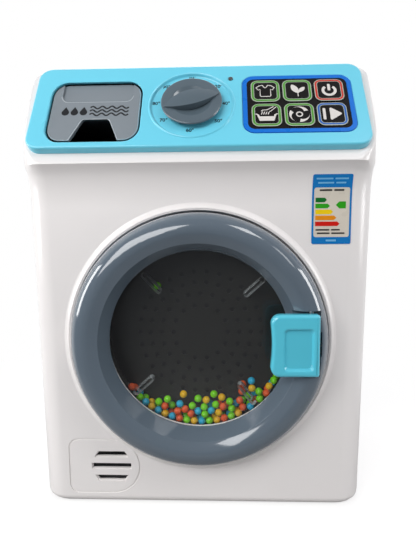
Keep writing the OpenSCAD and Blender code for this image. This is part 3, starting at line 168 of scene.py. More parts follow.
@dataclass(frozen=True)
class Finish:
    """A moulded, printed or plated surface with fine variation in colour, gloss and height."""

    name: str
    stuff: Stuff
    colour: str
    deep_colour: str
    roughness: float
    roughness_spread: float = 0.03
    mottle_mm: float = 14.0
    grain_mm: float = 0.9
    grain_height_mm: float = 0.004
    coat: float = 0.0

    def material(self) -> bpy.types.Material:
        """Builds the material on first use.

        Returns:
            The material that all pieces of this finish share.
        """
        if self.name in bpy.data.materials:
            return bpy.data.materials[self.name]
        material, tree = empty_material(self.name)
        place = add_node(tree, "ShaderNodeTexCoord").outputs["Object"]
        mottle = add_node(tree, "ShaderNodeTexNoise", {"Vector": place, "Scale": 1 / (self.mottle_mm * MM),
                                                       "Detail": 1.5, "Roughness": 0.5})
        grain = add_node(tree, "ShaderNodeTexNoise", {"Vector": place, "Scale": 1 / (self.grain_mm * MM),
                                                      "Detail": 2.0, "Roughness": 0.5})
        tint = add_node(tree, "ShaderNodeMix", {0: mottle.outputs["Fac"], 6: linear(self.deep_colour),
                                                7: linear(self.colour)}, data_type="RGBA")
        gloss = add_node(tree, "ShaderNodeMapRange", {
            "Value": mottle.outputs["Fac"], "From Min": 0.0, "From Max": 1.0,
            "To Min": max(SMOOTHEST, self.roughness - self.roughness_spread),
            "To Max": self.roughness + self.roughness_spread})
        bump = add_node(tree, "ShaderNodeBump", {"Height": grain.outputs["Fac"], "Strength": 1.0,
                                                 "Distance": self.grain_height_mm * MM})
        ior, metallic = self.stuff.value
        shader = add_node(tree, "ShaderNodeBsdfPrincipled", {
            "Base Color": tint.outputs[2], "Roughness": gloss.outputs[0], "Normal": bump.outputs[0],
            "IOR": ior, "Metallic": metallic, "Coat Weight": self.coat, "Coat Roughness": COAT_ROUGHNESS})
        add_node(tree, "ShaderNodeOutputMaterial", {"Surface": shader.outputs[0]})
        return material


@dataclass(frozen=True)
class ClearFinish:
    """Thin clear plastic: it lets rays straight through and mirrors by its angle to them."""

    name: str
    colour: str
    roughness: float
    ior: float = 1.45
    milk: float = 0.0
    ripple_mm: float = 0.0006
    scuff_mm: float = 1000 / 90
    scuff_roughness: float = 0.04
    skin_colour: str = "#f4f6f7"
    skin_roughness: float = 0.2

    def material(self) -> bpy.types.Material:
        """Builds the material on first use.

        Returns:
            See-through plastic with a gloss, and with a pale skin where it has some milk.
        """
        if self.name in bpy.data.materials:
            return bpy.data.materials[self.name]
        material, tree = empty_material(self.name)
        place = add_node(tree, "ShaderNodeTexCoord").outputs["Object"]
        scuff = add_node(tree, "ShaderNodeTexNoise", {"Vector": place, "Scale": 1 / (self.scuff_mm * MM),
                                                      "Detail": 4.0})
        gloss = add_node(tree, "ShaderNodeMapRange", {
            "Value": scuff.outputs["Fac"], "From Min": 0.45, "From Max": 0.8,
            "To Min": self.roughness, "To Max": self.roughness + self.scuff_roughness})
        ripple = add_node(tree, "ShaderNodeBump", {"Height": scuff.outputs["Fac"], "Strength": 1.0,
                                                   "Distance": self.ripple_mm * MM})
        mirror = add_node(tree, "ShaderNodeBsdfAnisotropic", {
            "Color": WHITE, "Roughness": gloss.outputs[0], "Normal": ripple.outputs[0]})
        clear = add_node(tree, "ShaderNodeBsdfTransparent", {"Color": linear(self.colour)})
        share = add_node(tree, "ShaderNodeFresnel", {"IOR": self.ior})
        seen = add_node(tree, "ShaderNodeMixShader", {0: share.outputs[0], 1: clear.outputs[0],
                                                      2: mirror.outputs[0]})
        skin = add_node(tree, "ShaderNodeBsdfPrincipled", {"Base Color": linear(self.skin_colour),
                                                           "Roughness": self.skin_roughness})
        veiled = add_node(tree, "ShaderNodeMixShader", {0: self.milk, 1: seen.outputs[0], 2: skin.outputs[0]})
        rays = add_node(tree, "ShaderNodeLightPath")
        mixed = add_node(tree, "ShaderNodeMixShader", {0: rays.outputs["Is Shadow Ray"], 1: veiled.outputs[0],
                                                       2: clear.outputs[0]})
        add_node(tree, "ShaderNodeOutputMaterial", {"Surface": mixed.outputs[0]})
        return material


AnyFinish = Finish | ClearFinish

# Glossy injection-moulded ABS: near-white with a faint warm cast and a slight orange peel.
SHELL_WHITE = Finish("white_abs_moulded", Stuff.ABS, "#ece8e6", "#eae6e4",
                     0.3, 0.015, 30.0, 1.1, 0.0022, 0.12)
# The same ABS in sky blue: clean colour and soft wide highlights, sharper on the handle.
PANEL_BLUE = Finish("sky_blue_abs_moulded", Stuff.ABS, "#70d3ea", "#6dd0e8",
                    0.28, 0.015, 26.0, 1.0, 0.0022, 0.1)
HANDLE_BLUE = Finish("handle_blue_abs_moulded", Stuff.ABS, "#58c6dc", "#54c2d8",
                     0.2, 0.02, 18.0, 1.0, 0.0022, 0.3)
# Satin ABS from an etched tool: even grey, blurred highlights, a fine pebble. The lid's rim is painted paler
# than its face, a painted highlight where its rounding catches the light, and the dial is smoother and
# darker.
DRAWER_GREY = Finish("drawer_grey_abs_etched", Stuff.ABS, "#80888e", "#7c848a",
                     0.42, 0.03, 12.0, 0.5, 0.008)
DRAWER_RIM_PAINTED_HIGHLIGHT = Finish("drawer_grey_abs_worn_edge", Stuff.ABS, "#b6bdc2", "#b0b7bc",
                     0.3, 0.03, 12.0, 0.5, 0.004, 0.2)
DIAL_GREY = Finish("dial_grey_abs_satin", Stuff.ABS, "#596770", "#54626b", 0.2, 0.03, 12.0, 0.8, 0.003, 0.3)
# Blue-grey ABS with a polished skin, which mirrors the lamps as sharp streaks.
RING_GREY = Finish("blue_grey_abs_polished", Stuff.ABS, "#5e6a75", "#5a6671",
                   0.1, 0.02, 30.0, 1.4, 0.0014, 0.6)
# Black and charcoal ABS with a satin skin: dark, with broad dull highlights.
DARK_PLASTIC = Finish("black_abs_satin", Stuff.ABS, "#1d1e21", "#191a1c", 0.5, 0.05, 10.0, 0.6, 0.008)
DRUM_DARK = Finish("charcoal_abs_satin", Stuff.ABS, "#2f2c29", "#282523", 0.32, 0.04, 16.0, 0.8, 0.004)
# A darker charcoal painted into the sunk dimples of the drum floor: painted shade for the shade they lie in.
DRUM_DIMPLE_PAINTED_SHADE = Finish("charcoal_abs_dimple", Stuff.ABS, "#171514", "#141211", 0.45, 0.03, 16.0, 0.8, 0.004)
# Screen-printed inks: thin and even. The black of the keys and their plate is glossy, the others are satin.
INK_BLACK = Finish("black_print", Stuff.INK, "#15110f", "#120f0d", 0.16, 0.02, 8.0, 0.5, 0.002)
INK_WHITE = Finish("white_print", Stuff.INK, "#ddd8d3", "#d7d2cd", 0.4, 0.04, 5.0, 0.5, 0.002)
INK_GREY = Finish("outline_print", Stuff.INK, "#b4bbae", "#abb2a5", 0.35, 0.04, 5.0, 0.5, 0.002)
INK_GREEN = Finish("green_print", Stuff.INK, "#4f9c28", "#428a20", 0.3, 0.04, 4.0, 0.5, 0.002)
INK_RED = Finish("red_print", Stuff.INK, "#c92c1c", "#bc2718", 0.3, 0.04, 4.0, 0.5, 0.002)
INK_BLUE = Finish("blue_print", Stuff.INK, "#1560bc", "#1158ae", 0.3, 0.04, 4.0, 0.5, 0.002)
BAND_BLUE = Finish("blue_band_print", Stuff.INK, "#0670d4", "#056dcf", 0.28, 0.04, 9.0, 0.6, 0.002)
INK_NAVY = Finish("dial_number_print", Stuff.INK, "#16303f", "#122834", 0.4, 0.04, 3.0, 0.5, 0.002)
INK_SLATE = Finish("drawer_mark_print", Stuff.INK, "#17191d", "#131519", 0.4, 0.04, 3.0, 0.5, 0.002)
# Self-adhesive polypropylene film and its inks: flat, even and softly glossy.
FILM_BLUE = Finish("label_film_blue", Stuff.FILM, "#0f78c0", "#0c70b6", 0.25, 0.03, 9.0, 1.2, 0.002, 0.2)
FILM_PALE = Finish("label_film_pale", Stuff.FILM, "#d6cec0", "#d0c8ba", 0.28, 0.03, 9.0, 1.2, 0.002, 0.2)
FILM_INKS = {
    ink: Finish(f"label_{ink}_print", Stuff.INK, colour, deep_colour, roughness, 0.03, 4.0)
    for ink, colour, deep_colour, roughness in (
        ("forest", "#0c6c26", "#0a6421", 0.3), ("green", "#2f9f1a", "#299516", 0.3),
        ("yellow", "#edcb10", "#e6c20c", 0.3), ("orange", "#e58d12", "#dc840e", 0.3),
        ("red", "#cf1d10", "#c6190d", 0.3), ("rule", "#3a3836", "#343230", 0.4),
        ("sky", "#6fb4dc", "#67acd4", 0.4))}
# Polystyrene balls: saturated and glossy, each batch a little uneven.
BEADS = {
    batch: Finish(f"{batch}_polystyrene", Stuff.POLYSTYRENE, colour, deep_colour, 0.2, 0.04, 5.0, 0.9, 0.002,
                  0.3)
    for batch, colour, deep_colour in (
        ("green", "#90ee18", "#78d80e"), ("orange", "#ff6c34", "#ee501e"),
        ("yellow", "#ffcc1e", "#f4b010"), ("blue", "#2cc0ea", "#1ca6d2"))}
# Clear polystyrene: the window and the cover are thin and polished, and the ribs' satin wall catches light.
# The lens is acrylic with a smoky tint.
CLEAR_WINDOW = ClearFinish("clear_polystyrene_window", "#fdfefe", 0.02, 1.4)
CLEAR_COVER = ClearFinish("clear_polystyrene_cover", "#fdfefe", 0.02, 1.3)
CLEAR_RIB = ClearFinish("clear_polystyrene_rib", "#f4f6f7", 0.08, 1.5, 0.4)
CLEAR_LENS = ClearFinish("smoked_acrylic_lens", "#6f9fa8", 0.05, 1.45, 0.1)
# Natural acetal: milky cream, satin, slightly waxy.
ACETAL = Finish("natural_acetal", Stuff.ACETAL, "#e6dfca", "#ded6bf", 0.45, 0.05, 8.0, 0.6, 0.004)
# Zinc-plated steel: neutral grey with soft cloudy patches.
STEEL = Finish("zinc_plated_steel", Stuff.STEEL, "#bfc2c6", "#aeb1b5", 0.3, 0.08, 3.0, 0.4, 0.004)
# Sintered bronze: dull gold with a fine porous grain.
BRONZE = Finish("sintered_bronze", Stuff.BRONZE, "#c79b58", "#b58848", 0.42, 0.08, 3.0, 0.4, 0.01)
# Glass laminate under solder mask: deep green with a smooth gloss.
BOARD_GREEN = Finish("solder_mask_laminate", Stuff.LAMINATE, "#1f6b3b", "#1a6035",
                     0.3, 0.05, 6.0, 0.8, 0.006)
# Shrink-wrap film on the cells: dark green and glossy.
CELL_WRAP = Finish("shrink_wrapped_cell", Stuff.FILM, "#24563a", "#1f4c33",
                   0.25, 0.04, 9.0, 1.0, 0.003, 0.3)


def bmesh_of(mesh: bpy.types.Mesh) -> bmesh.types.BMesh:
    """Opens a mesh for editing.

    Args:
        mesh: the mesh, which stays as it is.

    Returns:
        A new bmesh with its faces.
    """
    bm = bmesh.new()
    bm.from_mesh(mesh)
    return bm


def add_object(name: str, data: bpy.types.ID) -> bpy.types.Object:
    """Adds an object to the scene.

    Args:
        name: its name.
        data: the mesh, curve, lamp or camera that it shows.

    Returns:
        The new object.
    """
    obj = bpy.data.objects.new(name, data)
    bpy.context.scene.collection.objects.link(obj)
    return obj


def cad_copy(node_name: str) -> bmesh.types.BMesh:
    """Copies a CAD node's mesh, with its loose triangles merged and its flat faces joined.

    Args:
        node_name: the node in the frame.

    Returns:
        A bmesh in the row frame.
    """
    bm = bmesh_of(frame["nodes"][node_name].data)
    bmesh.ops.remove_doubles(bm, verts=bm.verts, dist=MERGE_MM * MM)
    bmesh.ops.dissolve_limit(bm, angle_limit=FLAT_ANGLE, verts=bm.verts, edges=bm.edges)
    for face in bm.faces:
        face.material_index = 0
    return bm


@dataclass
class Piece:
    """One visible piece: a mesh under way that stands for a CAD node, with its body, slot and finishes."""

    node_name: str
    body: str
    slot: str
    bm: bmesh.types.BMesh = field(default_factory=bmesh.new)
    finishes: list[AnyFinish] = field(default_factory=list)

    def finish_index(self, finish: AnyFinish) -> int:
        """Finds a finish's place in the piece's list, and puts it there on first use.

        Args:
            finish: the finish.

        Returns:
            Its material number.
        """
        if finish not in self.finishes:
            self.finishes.append(finish)
        return self.finishes.index(finish)

    def add(self, part: bmesh.types.BMesh, finish: AnyFinish, place: Matrix = Matrix.Identity(4)) -> None:
        """Adds a shape to the piece.

        Args:
            part: the shape, which is freed.
            finish: its finish.
            place: where it goes in the row frame.
        """
        bmesh.ops.transform(part, matrix=place, verts=part.verts)
        index = self.finish_index(finish)
        for face in part.faces:
            face.material_index = index
        self.absorb(part)

    def absorb(self, part: bmesh.types.BMesh) -> None:
        """Takes in a shape whose faces already have their material numbers.

        Args:
            part: the shape, which is freed.
        """
        scratch = bpy.data.meshes.new("scratch")
        part.to_mesh(scratch)
        part.free()
        self.bm.from_mesh(scratch)
        bpy.data.meshes.remove(scratch)

    def done(self, rounding_mm: float = 0.0, segments: int = 2) -> None:
        """Turns the piece into an object that rides on its body.

        Args:
            rounding_mm: radius of the rounding on its sharp edges.
            segments: steps of that rounding.
        """
        name = f"{self.node_name}_dressed"
        mesh = bpy.data.meshes.new(name)
        self.bm.to_mesh(mesh)
        self.bm.free()
        for kind in ("custom_normal", "sharp_edge", "sharp_face"):
            if kind in mesh.attributes:
                mesh.attributes.remove(mesh.attributes[kind])
        mesh.shade_smooth()
        mesh.set_sharp_from_angle(angle=SMOOTH_ANGLE)
        for finish in self.finishes:
            mesh.materials.append(finish.material())
        obj = add_object(name, mesh)
        if rounding_mm:
            edge = obj.modifiers.new("edge_rounding", "BEVEL")
            edge.width = rounding_mm * MM
            edge.segments = segments
            edge.limit_method = "ANGLE"
            edge.angle_limit = SMOOTH_ANGLE
            edge.harden_normals = True
        even = obj.modifiers.new("even_normals", "WEIGHTED_NORMAL")
        even.keep_sharp = True
        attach(obj, self.body)
        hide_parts(self.node_name)
        LOG.info("%s: %d faces on %s", name, len(mesh.polygons), self.body)


def copied_piece(node_name: str, body: str, slot: str, finish: AnyFinish) -> Piece:
    """Starts a piece that stands for a CAD node with the node's own shape.

    Args:
        node_name: the CAD node.
        body: the body it rides on.
        slot: the record's material slot.
        finish: its finish.

    Returns:
        The piece, still open for more work.
    """
    piece = Piece(node_name, body, slot)
    piece.add(cad_copy(node_name), finish)
    return piece


def dress(finish: AnyFinish, *node_names: str) -> None:
    """Gives carried-over CAD nodes their finish.

    Args:
        finish: the finish.
        node_names: the nodes.
    """
    for name in node_names:
        materials = frame["nodes"][name].data.materials
        materials.clear()
        materials.append(finish.material())
        LOG.info("%s: dressed in %s", name, finish.name)


def add_path(curve: bpy.types.Curve, points: Sequence[Point], closed: bool) -> None:
    """Adds straight stretches between points to a curve.

    Args:
        curve: the curve.
        points: the points in mm.
        closed: whether the last one joins the first.
    """
    spline = curve.splines.new("POLY")
    spline.points.add(len(points) - 1)
    for point, (x, y) in zip(spline.points, points):
        point.co = (x * MM, y * MM, 0, 1)
    spline.use_cyclic_u = closed


def flat_shape(outline: Sequence[Point], thick: float) -> bmesh.types.BMesh:
    """Makes a thin closed slab from a filled outline.

    Args:
        outline: the closed outline in mm.
        thick: thickness in mm, upwards from the drawing plane.

    Returns:
        The slab, in metres.
    """
    curve = bpy.data.curves.new("outline", "CURVE")
    curve.dimensions = "2D"
    curve.fill_mode = "BOTH"
    curve.extrude = thick * MM / 2
    add_path(curve, outline, True)
    return curve_to_bmesh(curve, Matrix.Translation((0, 0, thick * MM / 2)))


def curve_to_bmesh(curve: bpy.types.Curve, place: Matrix) -> bmesh.types.BMesh:
    """Turns a curve or a text into a closed mesh.

    Args:
        curve: the curve, which is removed.
        place: applied to the mesh.

    Returns:
        The mesh, with its doubles merged and its faces outwards.
    """
    holder = add_object("holder", curve)
    settled = holder.evaluated_get(bpy.context.evaluated_depsgraph_get())
    mesh = bpy.data.meshes.new_from_object(settled)
    bpy.data.objects.remove(holder)
    bpy.data.curves.remove(curve)
    bm = bmesh_of(mesh)
    bpy.data.meshes.remove(mesh)
    bmesh.ops.remove_doubles(bm, verts=bm.verts, dist=SAME_SPOT)
    bmesh.ops.transform(bm, matrix=place, verts=bm.verts)
    bmesh.ops.recalc_face_normals(bm, faces=bm.faces)
    return bm


def line_shape(points: Sequence[Point], width: float, thick: float,
               closed: bool = False) -> bmesh.types.BMesh:
    """Makes a printed line: a round line along a path, flattened.

    Args:
        points: the path in mm.
        width: the line's width in mm.
        thick: the line's height in mm.
        closed: whether the path joins its start.

    Returns:
        The line, in metres.
    """
    curve = bpy.data.curves.new("line", "CURVE")
    curve.dimensions = "3D"
    curve.bevel_depth = width * MM / 2
    curve.bevel_resolution = 2
    curve.use_fill_caps = True
    add_path(curve, points, closed)
    return curve_to_bmesh(curve, Matrix.Diagonal((1, 1, 2 * thick / width, 1)))


def number_shape(text: str, height: float, thick: float) -> bmesh.types.BMesh:
    """Makes a dial number.

    Args:
        text: the digits.
        height: their height in mm.
        thick: their thickness in mm.

    Returns:
        The number, centred, in metres.
    """
    curve = bpy.data.curves.new("number", "FONT")
    curve.body = text
    curve.size = height * MM / DIGIT_SHARE
    curve.extrude = thick * MM / 2
    curve.offset = height * MM * DIGIT_WEIGHT
    curve.resolution_u = 3
    curve.align_x = "CENTER"
    curve.align_y = "CENTER"
    return curve_to_bmesh(curve, Matrix.Translation((0, 0, thick * MM / 2)))


def lathe(profile: Sequence[Point], steps: int = 96) -> bmesh.types.BMesh:
    """Spins a closed profile into a ring about the Z axis.

    Args:
        profile: radius and height of its corners, in mm.
        steps: steps round the axis.

    Returns:
        The closed ring, in metres.
    """
    bm = bmesh.new()
    corners = [bm.verts.new((radius * MM, 0, height * MM)) for radius, height in profile]
    for a, b in zip(corners, corners[1:] + corners[:1]):
        bm.edges.new((a, b))
    bmesh.ops.spin(bm, geom=bm.verts[:] + bm.edges[:], cent=(0, 0, 0), axis=(0, 0, 1), angle=math.tau,
                   steps=steps, use_merge=True)
    bmesh.ops.remove_doubles(bm, verts=bm.verts, dist=SAME_SPOT)
    bmesh.ops.recalc_face_normals(bm, faces=bm.faces)
    return bm


def arc(x: float, y: float, radius: float, start: float, end: float, steps: int = 12) -> Outline:
    """Returns points on an arc.

    Args:
        x: centre across.
        y: centre up.
        radius: radius.
        start: first angle in degrees.
        end: last angle in degrees.
        steps: number of steps.

    Returns:
        The points, both ends included.
    """
    angles = [math.radians(start + (end - start) * i / steps) for i in range(steps + 1)]
    return [(x + radius * math.cos(a), y + radius * math.sin(a)) for a in angles]


def rounded(x0: float, y0: float, x1: float, y1: float, radius: float) -> Outline:
    """Draws a rectangle with rounded corners.

    Args:
        x0: its left side.
        y0: its lower side.
        x1: its right side.
        y1: its upper side.
        radius: radius of its corners.

    Returns:
        The outline.
    """
    centres = ((x1 - radius, y1 - radius), (x0 + radius, y1 - radius),
               (x0 + radius, y0 + radius), (x1 - radius, y0 + radius))
    return [point for i, (x, y) in enumerate(centres) for point in arc(x, y, radius, 90 * i, 90 * i + 90, 6)]


def arrow(flat_x: float, tip_x: float, y: float, half: float, point: float) -> Outline:
    """Returns a level bar with one pointed end.

    Args:
        flat_x: where its flat end lies.
        tip_x: where its tip lies.
        y: the height of its middle.
        half: half its thickness.
        point: how long its pointed end is.

    Returns:
        The outline.
    """
    neck = tip_x - math.copysign(point, tip_x - flat_x)
    return [(flat_x, y - half), (neck, y - half), (tip_x, y), (neck, y + half), (flat_x, y + half)]


def turned(outline: Iterable[Point], degrees: float, dx: float = 0.0, dy: float = 0.0) -> Outline:
    """Turns an outline about its origin and then moves it.

    Args:
        outline: the points.
        degrees: the turn, anticlockwise.
        dx: move across.
        dy: move up.

    Returns:
        The new points.
    """
    c, s = math.cos(math.radians(degrees)), math.sin(math.radians(degrees))
    return [(x * c - y * s + dx, x * s + y * c + dy) for x, y in outline]


def lens(length: float, width: float) -> Outline:
    """Draws a leaf that lies along the X axis and comes to a point at both ends.

    Args:
        length: from point to point.
        width: across its middle.

    Returns:
        The outline, centred.
    """
    radius = (length * length / 4 + width * width / 4) / width
    half = math.degrees(math.asin(length / 2 / radius))
    return (arc(0, width / 2 - radius, radius, 90 - half, 90 + half, 10)
            + arc(0, radius - width / 2, radius, 270 - half, 270 + half, 10)[1:-1])


@dataclass(frozen=True)
class PanelPlane:
    """The plane of the sloping control panel."""

    tilt_deg: float = 60.0
    edge_z: float = 209.2
    edge_out: float = 7.5

    def place(self, x: float, up: float, height: float = 0.0) -> Matrix:
        """Returns the matrix of a spot on the panel.

        Args:
            x: to the right of the panel's middle, in mm.
            up: up the slope from its lower edge, in mm.
            height: out of the panel, in mm.

        Returns:
            A matrix whose X runs right, Y up the slope and Z out of the panel.
        """
        tilt = Matrix.Rotation(math.radians(self.tilt_deg), 4, "X")
        corner = Matrix.Translation(Vector((0, FACE_Y - self.edge_out, self.edge_z)) * MM)
        return corner @ tilt @ Matrix.Translation(Vector((x, up, height)) * MM)

    def normal(self) -> Vector:
        """Returns the direction out of the panel."""
        return self.place(0, 0).to_3x3() @ Vector((0, 0, 1))

    def local(self, point: Vector) -> Vector:
        """Returns a row-frame point as right, up the slope and out of the panel, in mm."""
        return self.place(0, 0).inverted() @ point / MM


PANEL = PanelPlane()
DOOR_CENTRE = Matrix.Translation(Vector((0, FACE_Y, DOOR_Z)) * MM) @ Matrix.Rotation(math.radians(90), 4, "X")


def round_edges(bm: bmesh.types.BMesh, chosen: Callable[[bmesh.types.BMEdge], bool], radius: float,
                segments: int = 4) -> None:
    """Rounds chosen sharp edges.

    Args:
        bm: the mesh.
        chosen: says whether an edge is rounded.
        radius: radius in mm.
        segments: steps of the rounding.
    """
    edges = [e for e in bm.edges if len(e.link_faces) == 2
             and e.calc_face_angle(0) > SMOOTH_ANGLE and chosen(e)]
    if edges:
        bmesh.ops.bevel(bm, geom=edges, offset=radius * MM, offset_type="OFFSET", segments=segments,
                        profile=0.5, affect="EDGES", material=-1)


@dataclass
class Case:
    """The two white shells, the battery cover and the label."""

    cove_z: float = 178.0
    cove_bend: float = 0.96
    cove_steps: int = 7
    lip_z: float = 201.0
    lip_out: float = 6.6
    slope_out: float = -4.48
    slope_margin: float = 0.05
    shoulder_x: float = 88.0
    shoulder_end: float = 50.0
    shoulder_radius: float = 1.5
    film_box: tuple[float, float, float, float] = (63.4, 156.3, 85.1, 194.3)
    film_radius: float = 0.9
    field_box: tuple[float, float, float, float] = (64.5, 160.2, 84.0, 187.3)
    field_radius: float = 1.2
    bars: tuple[tuple[str, float], ...] = (
        ("forest", 6.3), ("green", 8.0), ("yellow", 9.8), ("orange", 11.6), ("red", 13.5))
    bar_margin: float = 0.8
    bar_top: float = 180.6
    bar_pitch: float = 3.27
    bar_half: float = 1.25
    bar_point: float = 1.3
    pointer: tuple[float, float, float] = (82.0, 76.5, 177.8)
    pointer_half: float = 1.9
    dash_radius: float = 0.2
    dashes: tuple[tuple[str, int, float, float, tuple[Point, ...]], ...] = (
        ("rule", 2, 185.9, 1.0, ((67.4, 74.2), (75.4, 80.8))),
        ("rule", 2, 164.2, 0.9, ((65.6, 73.2), (74.2, 79.0))),
        ("rule", 2, 162.3, 0.9, ((66.4, 73.4), (74.4, 81.6))),
        ("sky", 1, 192.0, 0.8, ((65.4, 74.4), (75.6, 82.8))),
        ("sky", 1, 189.8, 0.8, ((66.4, 75.0), (76.2, 81.6))),
        ("sky", 1, 158.3, 1.0, ((71.4, 77.0),)))
    film_mm: float = 0.2
    print_mm: float = 0.05
    edge_mm: float = 0.35
    collar: tuple[Point, ...] = (
        (74.8, -0.3), (74.8, 1.3), (75.0, 1.7), (75.4, 1.85), (75.9, 1.7), (76.4, 1.2), (77.0, 0.72),
        (77.7, 0.34), (78.5, 0.08), (78.8, -0.1), (78.8, -0.3))

    def build(self) -> None:
        """Builds the shells and the label."""
        front = Piece("front_shell", "root", "shell_white")
        shell = cad_copy("front_shell")
        round_edges(shell, self.on_shoulder, self.shoulder_radius)
        front.add(shell, SHELL_WHITE)
        front.add(lathe(self.collar), SHELL_WHITE, DOOR_CENTRE)
        front.done(self.edge_mm)
        for node_name in ("back_shell", "battery_cover"):
            copied_piece(node_name, "root", "shell_white", SHELL_WHITE).done(self.edge_mm)
        self.label()
        dress(STEEL, "case_screws", "battery_cover_screw")

    def on_shoulder(self, edge: bmesh.types.BMEdge) -> bool:
        """Says whether an edge bounds the slope that carries the panel, at its sides and lower corners."""
        spots = [PANEL.local(vert.co) for vert in edge.verts]
        return all(abs(p.z - self.slope_out) < self.slope_margin and abs(p.x) > self.shoulder_x
                   and p.y < self.shoulder_end for p in spots)

    def cove(self, z: float) -> float:
        """Follows the flat facets under the panel's lip.

        Args:
            z: a height, in mm.

        Returns:
            How far the front stands forward there, in mm.
        """
        step = (self.lip_z - self.cove_z) / self.cove_steps
        if z <= self.cove_z:
            return 0.0
        low = math.floor((z - self.cove_z) / step)

        def curve(i: int) -> float:
            """Returns the cove at facet edge i."""
            bend = self.cove_bend * min(1.0, i / self.cove_steps) ** 2
            return self.lip_out * (1 - math.sqrt(1 - bend)) / (1 - math.sqrt(1 - self.cove_bend))

        share = (z - self.cove_z) / step - low
        return curve(low) + (curve(low + 1) - curve(low)) * share

    def on_front(self, part: bmesh.types.BMesh, lift: float) -> bmesh.types.BMesh:
        """Lays a flat shape, drawn in right and up, on the front of the case.

        Args:
            part: the shape.
            lift: its distance from the front, in mm.

        Returns:
            The same mesh, laid on the facets of the front.
        """
        for i in range(self.cove_steps + 1):
            z = (self.cove_z + i * (self.lip_z - self.cove_z) / self.cove_steps) * MM
            bmesh.ops.bisect_plane(part, geom=part.verts[:] + part.edges[:] + part.faces[:], dist=SAME_SPOT,
                                   plane_co=(0, z, 0), plane_no=(0, 1, 0))
        for vert in part.verts:
            x, z, out = vert.co
            vert.co = (x, FACE_Y * MM - out - (lift + self.cove(z / MM)) * MM, z)
        return part

    def label(self) -> None:
        """Builds the film label: blue film, pale field, coloured bars, a pointer and short dashes."""
        piece = Piece("rating_label", "root", "label_film")

        def lay(outline: Outline, finish: AnyFinish, level: int) -> None:
            """Lays the film or a print on it.

            Args:
                outline: its outline, right and up the front.
                finish: its finish.
                level: 0 for the film, 1 for a print on the film, 2 for one on the pale field.
            """
            thick = self.print_mm if level else self.film_mm
            low = self.film_mm + (level - 1) * self.print_mm if level else 0.0
            piece.add(self.on_front(flat_shape(outline, thick), low), finish)

        lay(rounded(*self.film_box, self.film_radius), FILM_BLUE, 0)
        lay(rounded(*self.field_box, self.field_radius), FILM_PALE, 1)
        left = self.field_box[0] + self.bar_margin
        for i, (ink, length) in enumerate(self.bars):
            z = self.bar_top - i * self.bar_pitch
            lay(arrow(left, left + length, z, self.bar_half, self.bar_point), FILM_INKS[ink], 2)
        lay(arrow(*self.pointer, self.pointer_half, self.pointer_half), FILM_INKS["green"], 2)
        for ink, level, z, tall, words in self.dashes:
            for start, end in words:
                lay(rounded(start, z - tall / 2, end, z + tall / 2, self.dash_radius), FILM_INKS[ink], level)
        piece.done()


@dataclass
class ControlPanel:
    """The blue panel with its dial scale, the keys' surround and plate, and the lens."""

    numbers: tuple[tuple[str, float, float], ...] = (
        ("10°", -3.4, 51.8), ("20°", 12.0, 44.4), ("40°", 16.2, 31.1), ("50°", 11.8, 18.2),
        ("60°", -3.8, 11.7), ("70°", -18.7, 19.4), ("80°", -23.5, 31.9), ("90°", -18.3, 44.7))
    number_height: float = 2.2
    dish_depth: float = 1.0
    panel_len: float = 60.5
    panel_half: float = 94.5
    corner_radius: float = 8.0
    corner_margin: float = 0.1
    edge_radius: float = 1.3
    opening_radius: float = 0.55
    surround_edge_mm: float = 0.06
    print_mm: float = 0.07
    dish_rim: tuple[Point, ...] = (
        (22.3, -1.2), (22.3, -1.02), (22.7, -0.86), (23.0, -0.5), (23.2, 0.0), (23.5, 0.36), (23.95, 0.52),
        (24.4, 0.36), (24.75, -0.05), (24.75, -1.2))

    def build(self) -> None:
        """Builds the panel, the keys' surround and plate, and the lens."""
        self.plate()
        copied_piece("key_surround", "root", "key_band_blue", BAND_BLUE).done(self.surround_edge_mm)
        copied_piece("key_plate", "root", "key_black", INK_BLACK).done()
        copied_piece("indicator_lens", "root", "clear_lens", CLEAR_LENS).done(SMALL_EDGE_MM)
        dress(CLEAR_LENS, "indicator_lamp")

    def at_rim(self, spot: Vector) -> bool:
        """Says whether a spot lies on the rounded rectangle that bounds the panel's top.

        Args:
            spot: right, up the slope and out of the panel, in mm.

        Returns:
            True on a straight side or on a rounded corner of that rectangle.
        """
        middle = self.panel_len / 2
        across = abs(spot.x) - self.panel_half + self.corner_radius
        along = abs(spot.y - middle) - middle + self.corner_radius
        if abs(spot.z) > IN_PLANE_MM:
            return False
        if min(across, along) > 0:
            return abs(math.hypot(across, along) - self.corner_radius) < self.corner_margin
        return abs(max(across, along) - self.corner_radius) < IN_PLANE_MM

    def on_rim(self, edge: bmesh.types.BMEdge) -> bool:
        """Says whether an edge lies on the outer rim of the panel's top."""
        return all(self.at_rim(PANEL.local(vert.co)) for vert in edge.verts)

    def on_opening(self, edge: bmesh.types.BMEdge) -> bool:
        """Says whether an edge lies round an opening of the panel's top, the dish aside.

        Args:
            edge: an edge of the panel.

        Returns:
            True at the openings for drawer, keys and lens, and at the outer rim while it is sharp.
        """
        spots = [PANEL.local(vert.co) for vert in edge.verts]
        x, up = DIAL_CENTRE
        rim = self.dish_rim[-1][0]
        return all(abs(p.z) < IN_PLANE_MM and math.hypot(p.x - x, p.y - up) > rim for p in spots)

    def plate(self) -> None:
        """Builds the blue plate with its raised dial rim and its printed numbers."""
        piece = Piece("control_panel", "root", "panel_blue")
        bm = cad_copy("control_panel")
        round_edges(bm, self.on_rim, self.edge_radius)
        round_edges(bm, self.on_opening, self.opening_radius, 3)
        piece.add(bm, PANEL_BLUE)
        piece.add(lathe(self.dish_rim), PANEL_BLUE, PANEL.place(*DIAL_CENTRE))
        for text, x, up in self.numbers:
            piece.add(number_shape(text, self.number_height, self.print_mm), INK_NAVY,
                      PANEL.place(x, up, -self.dish_depth))
        piece.done(FINE_EDGE_MM)


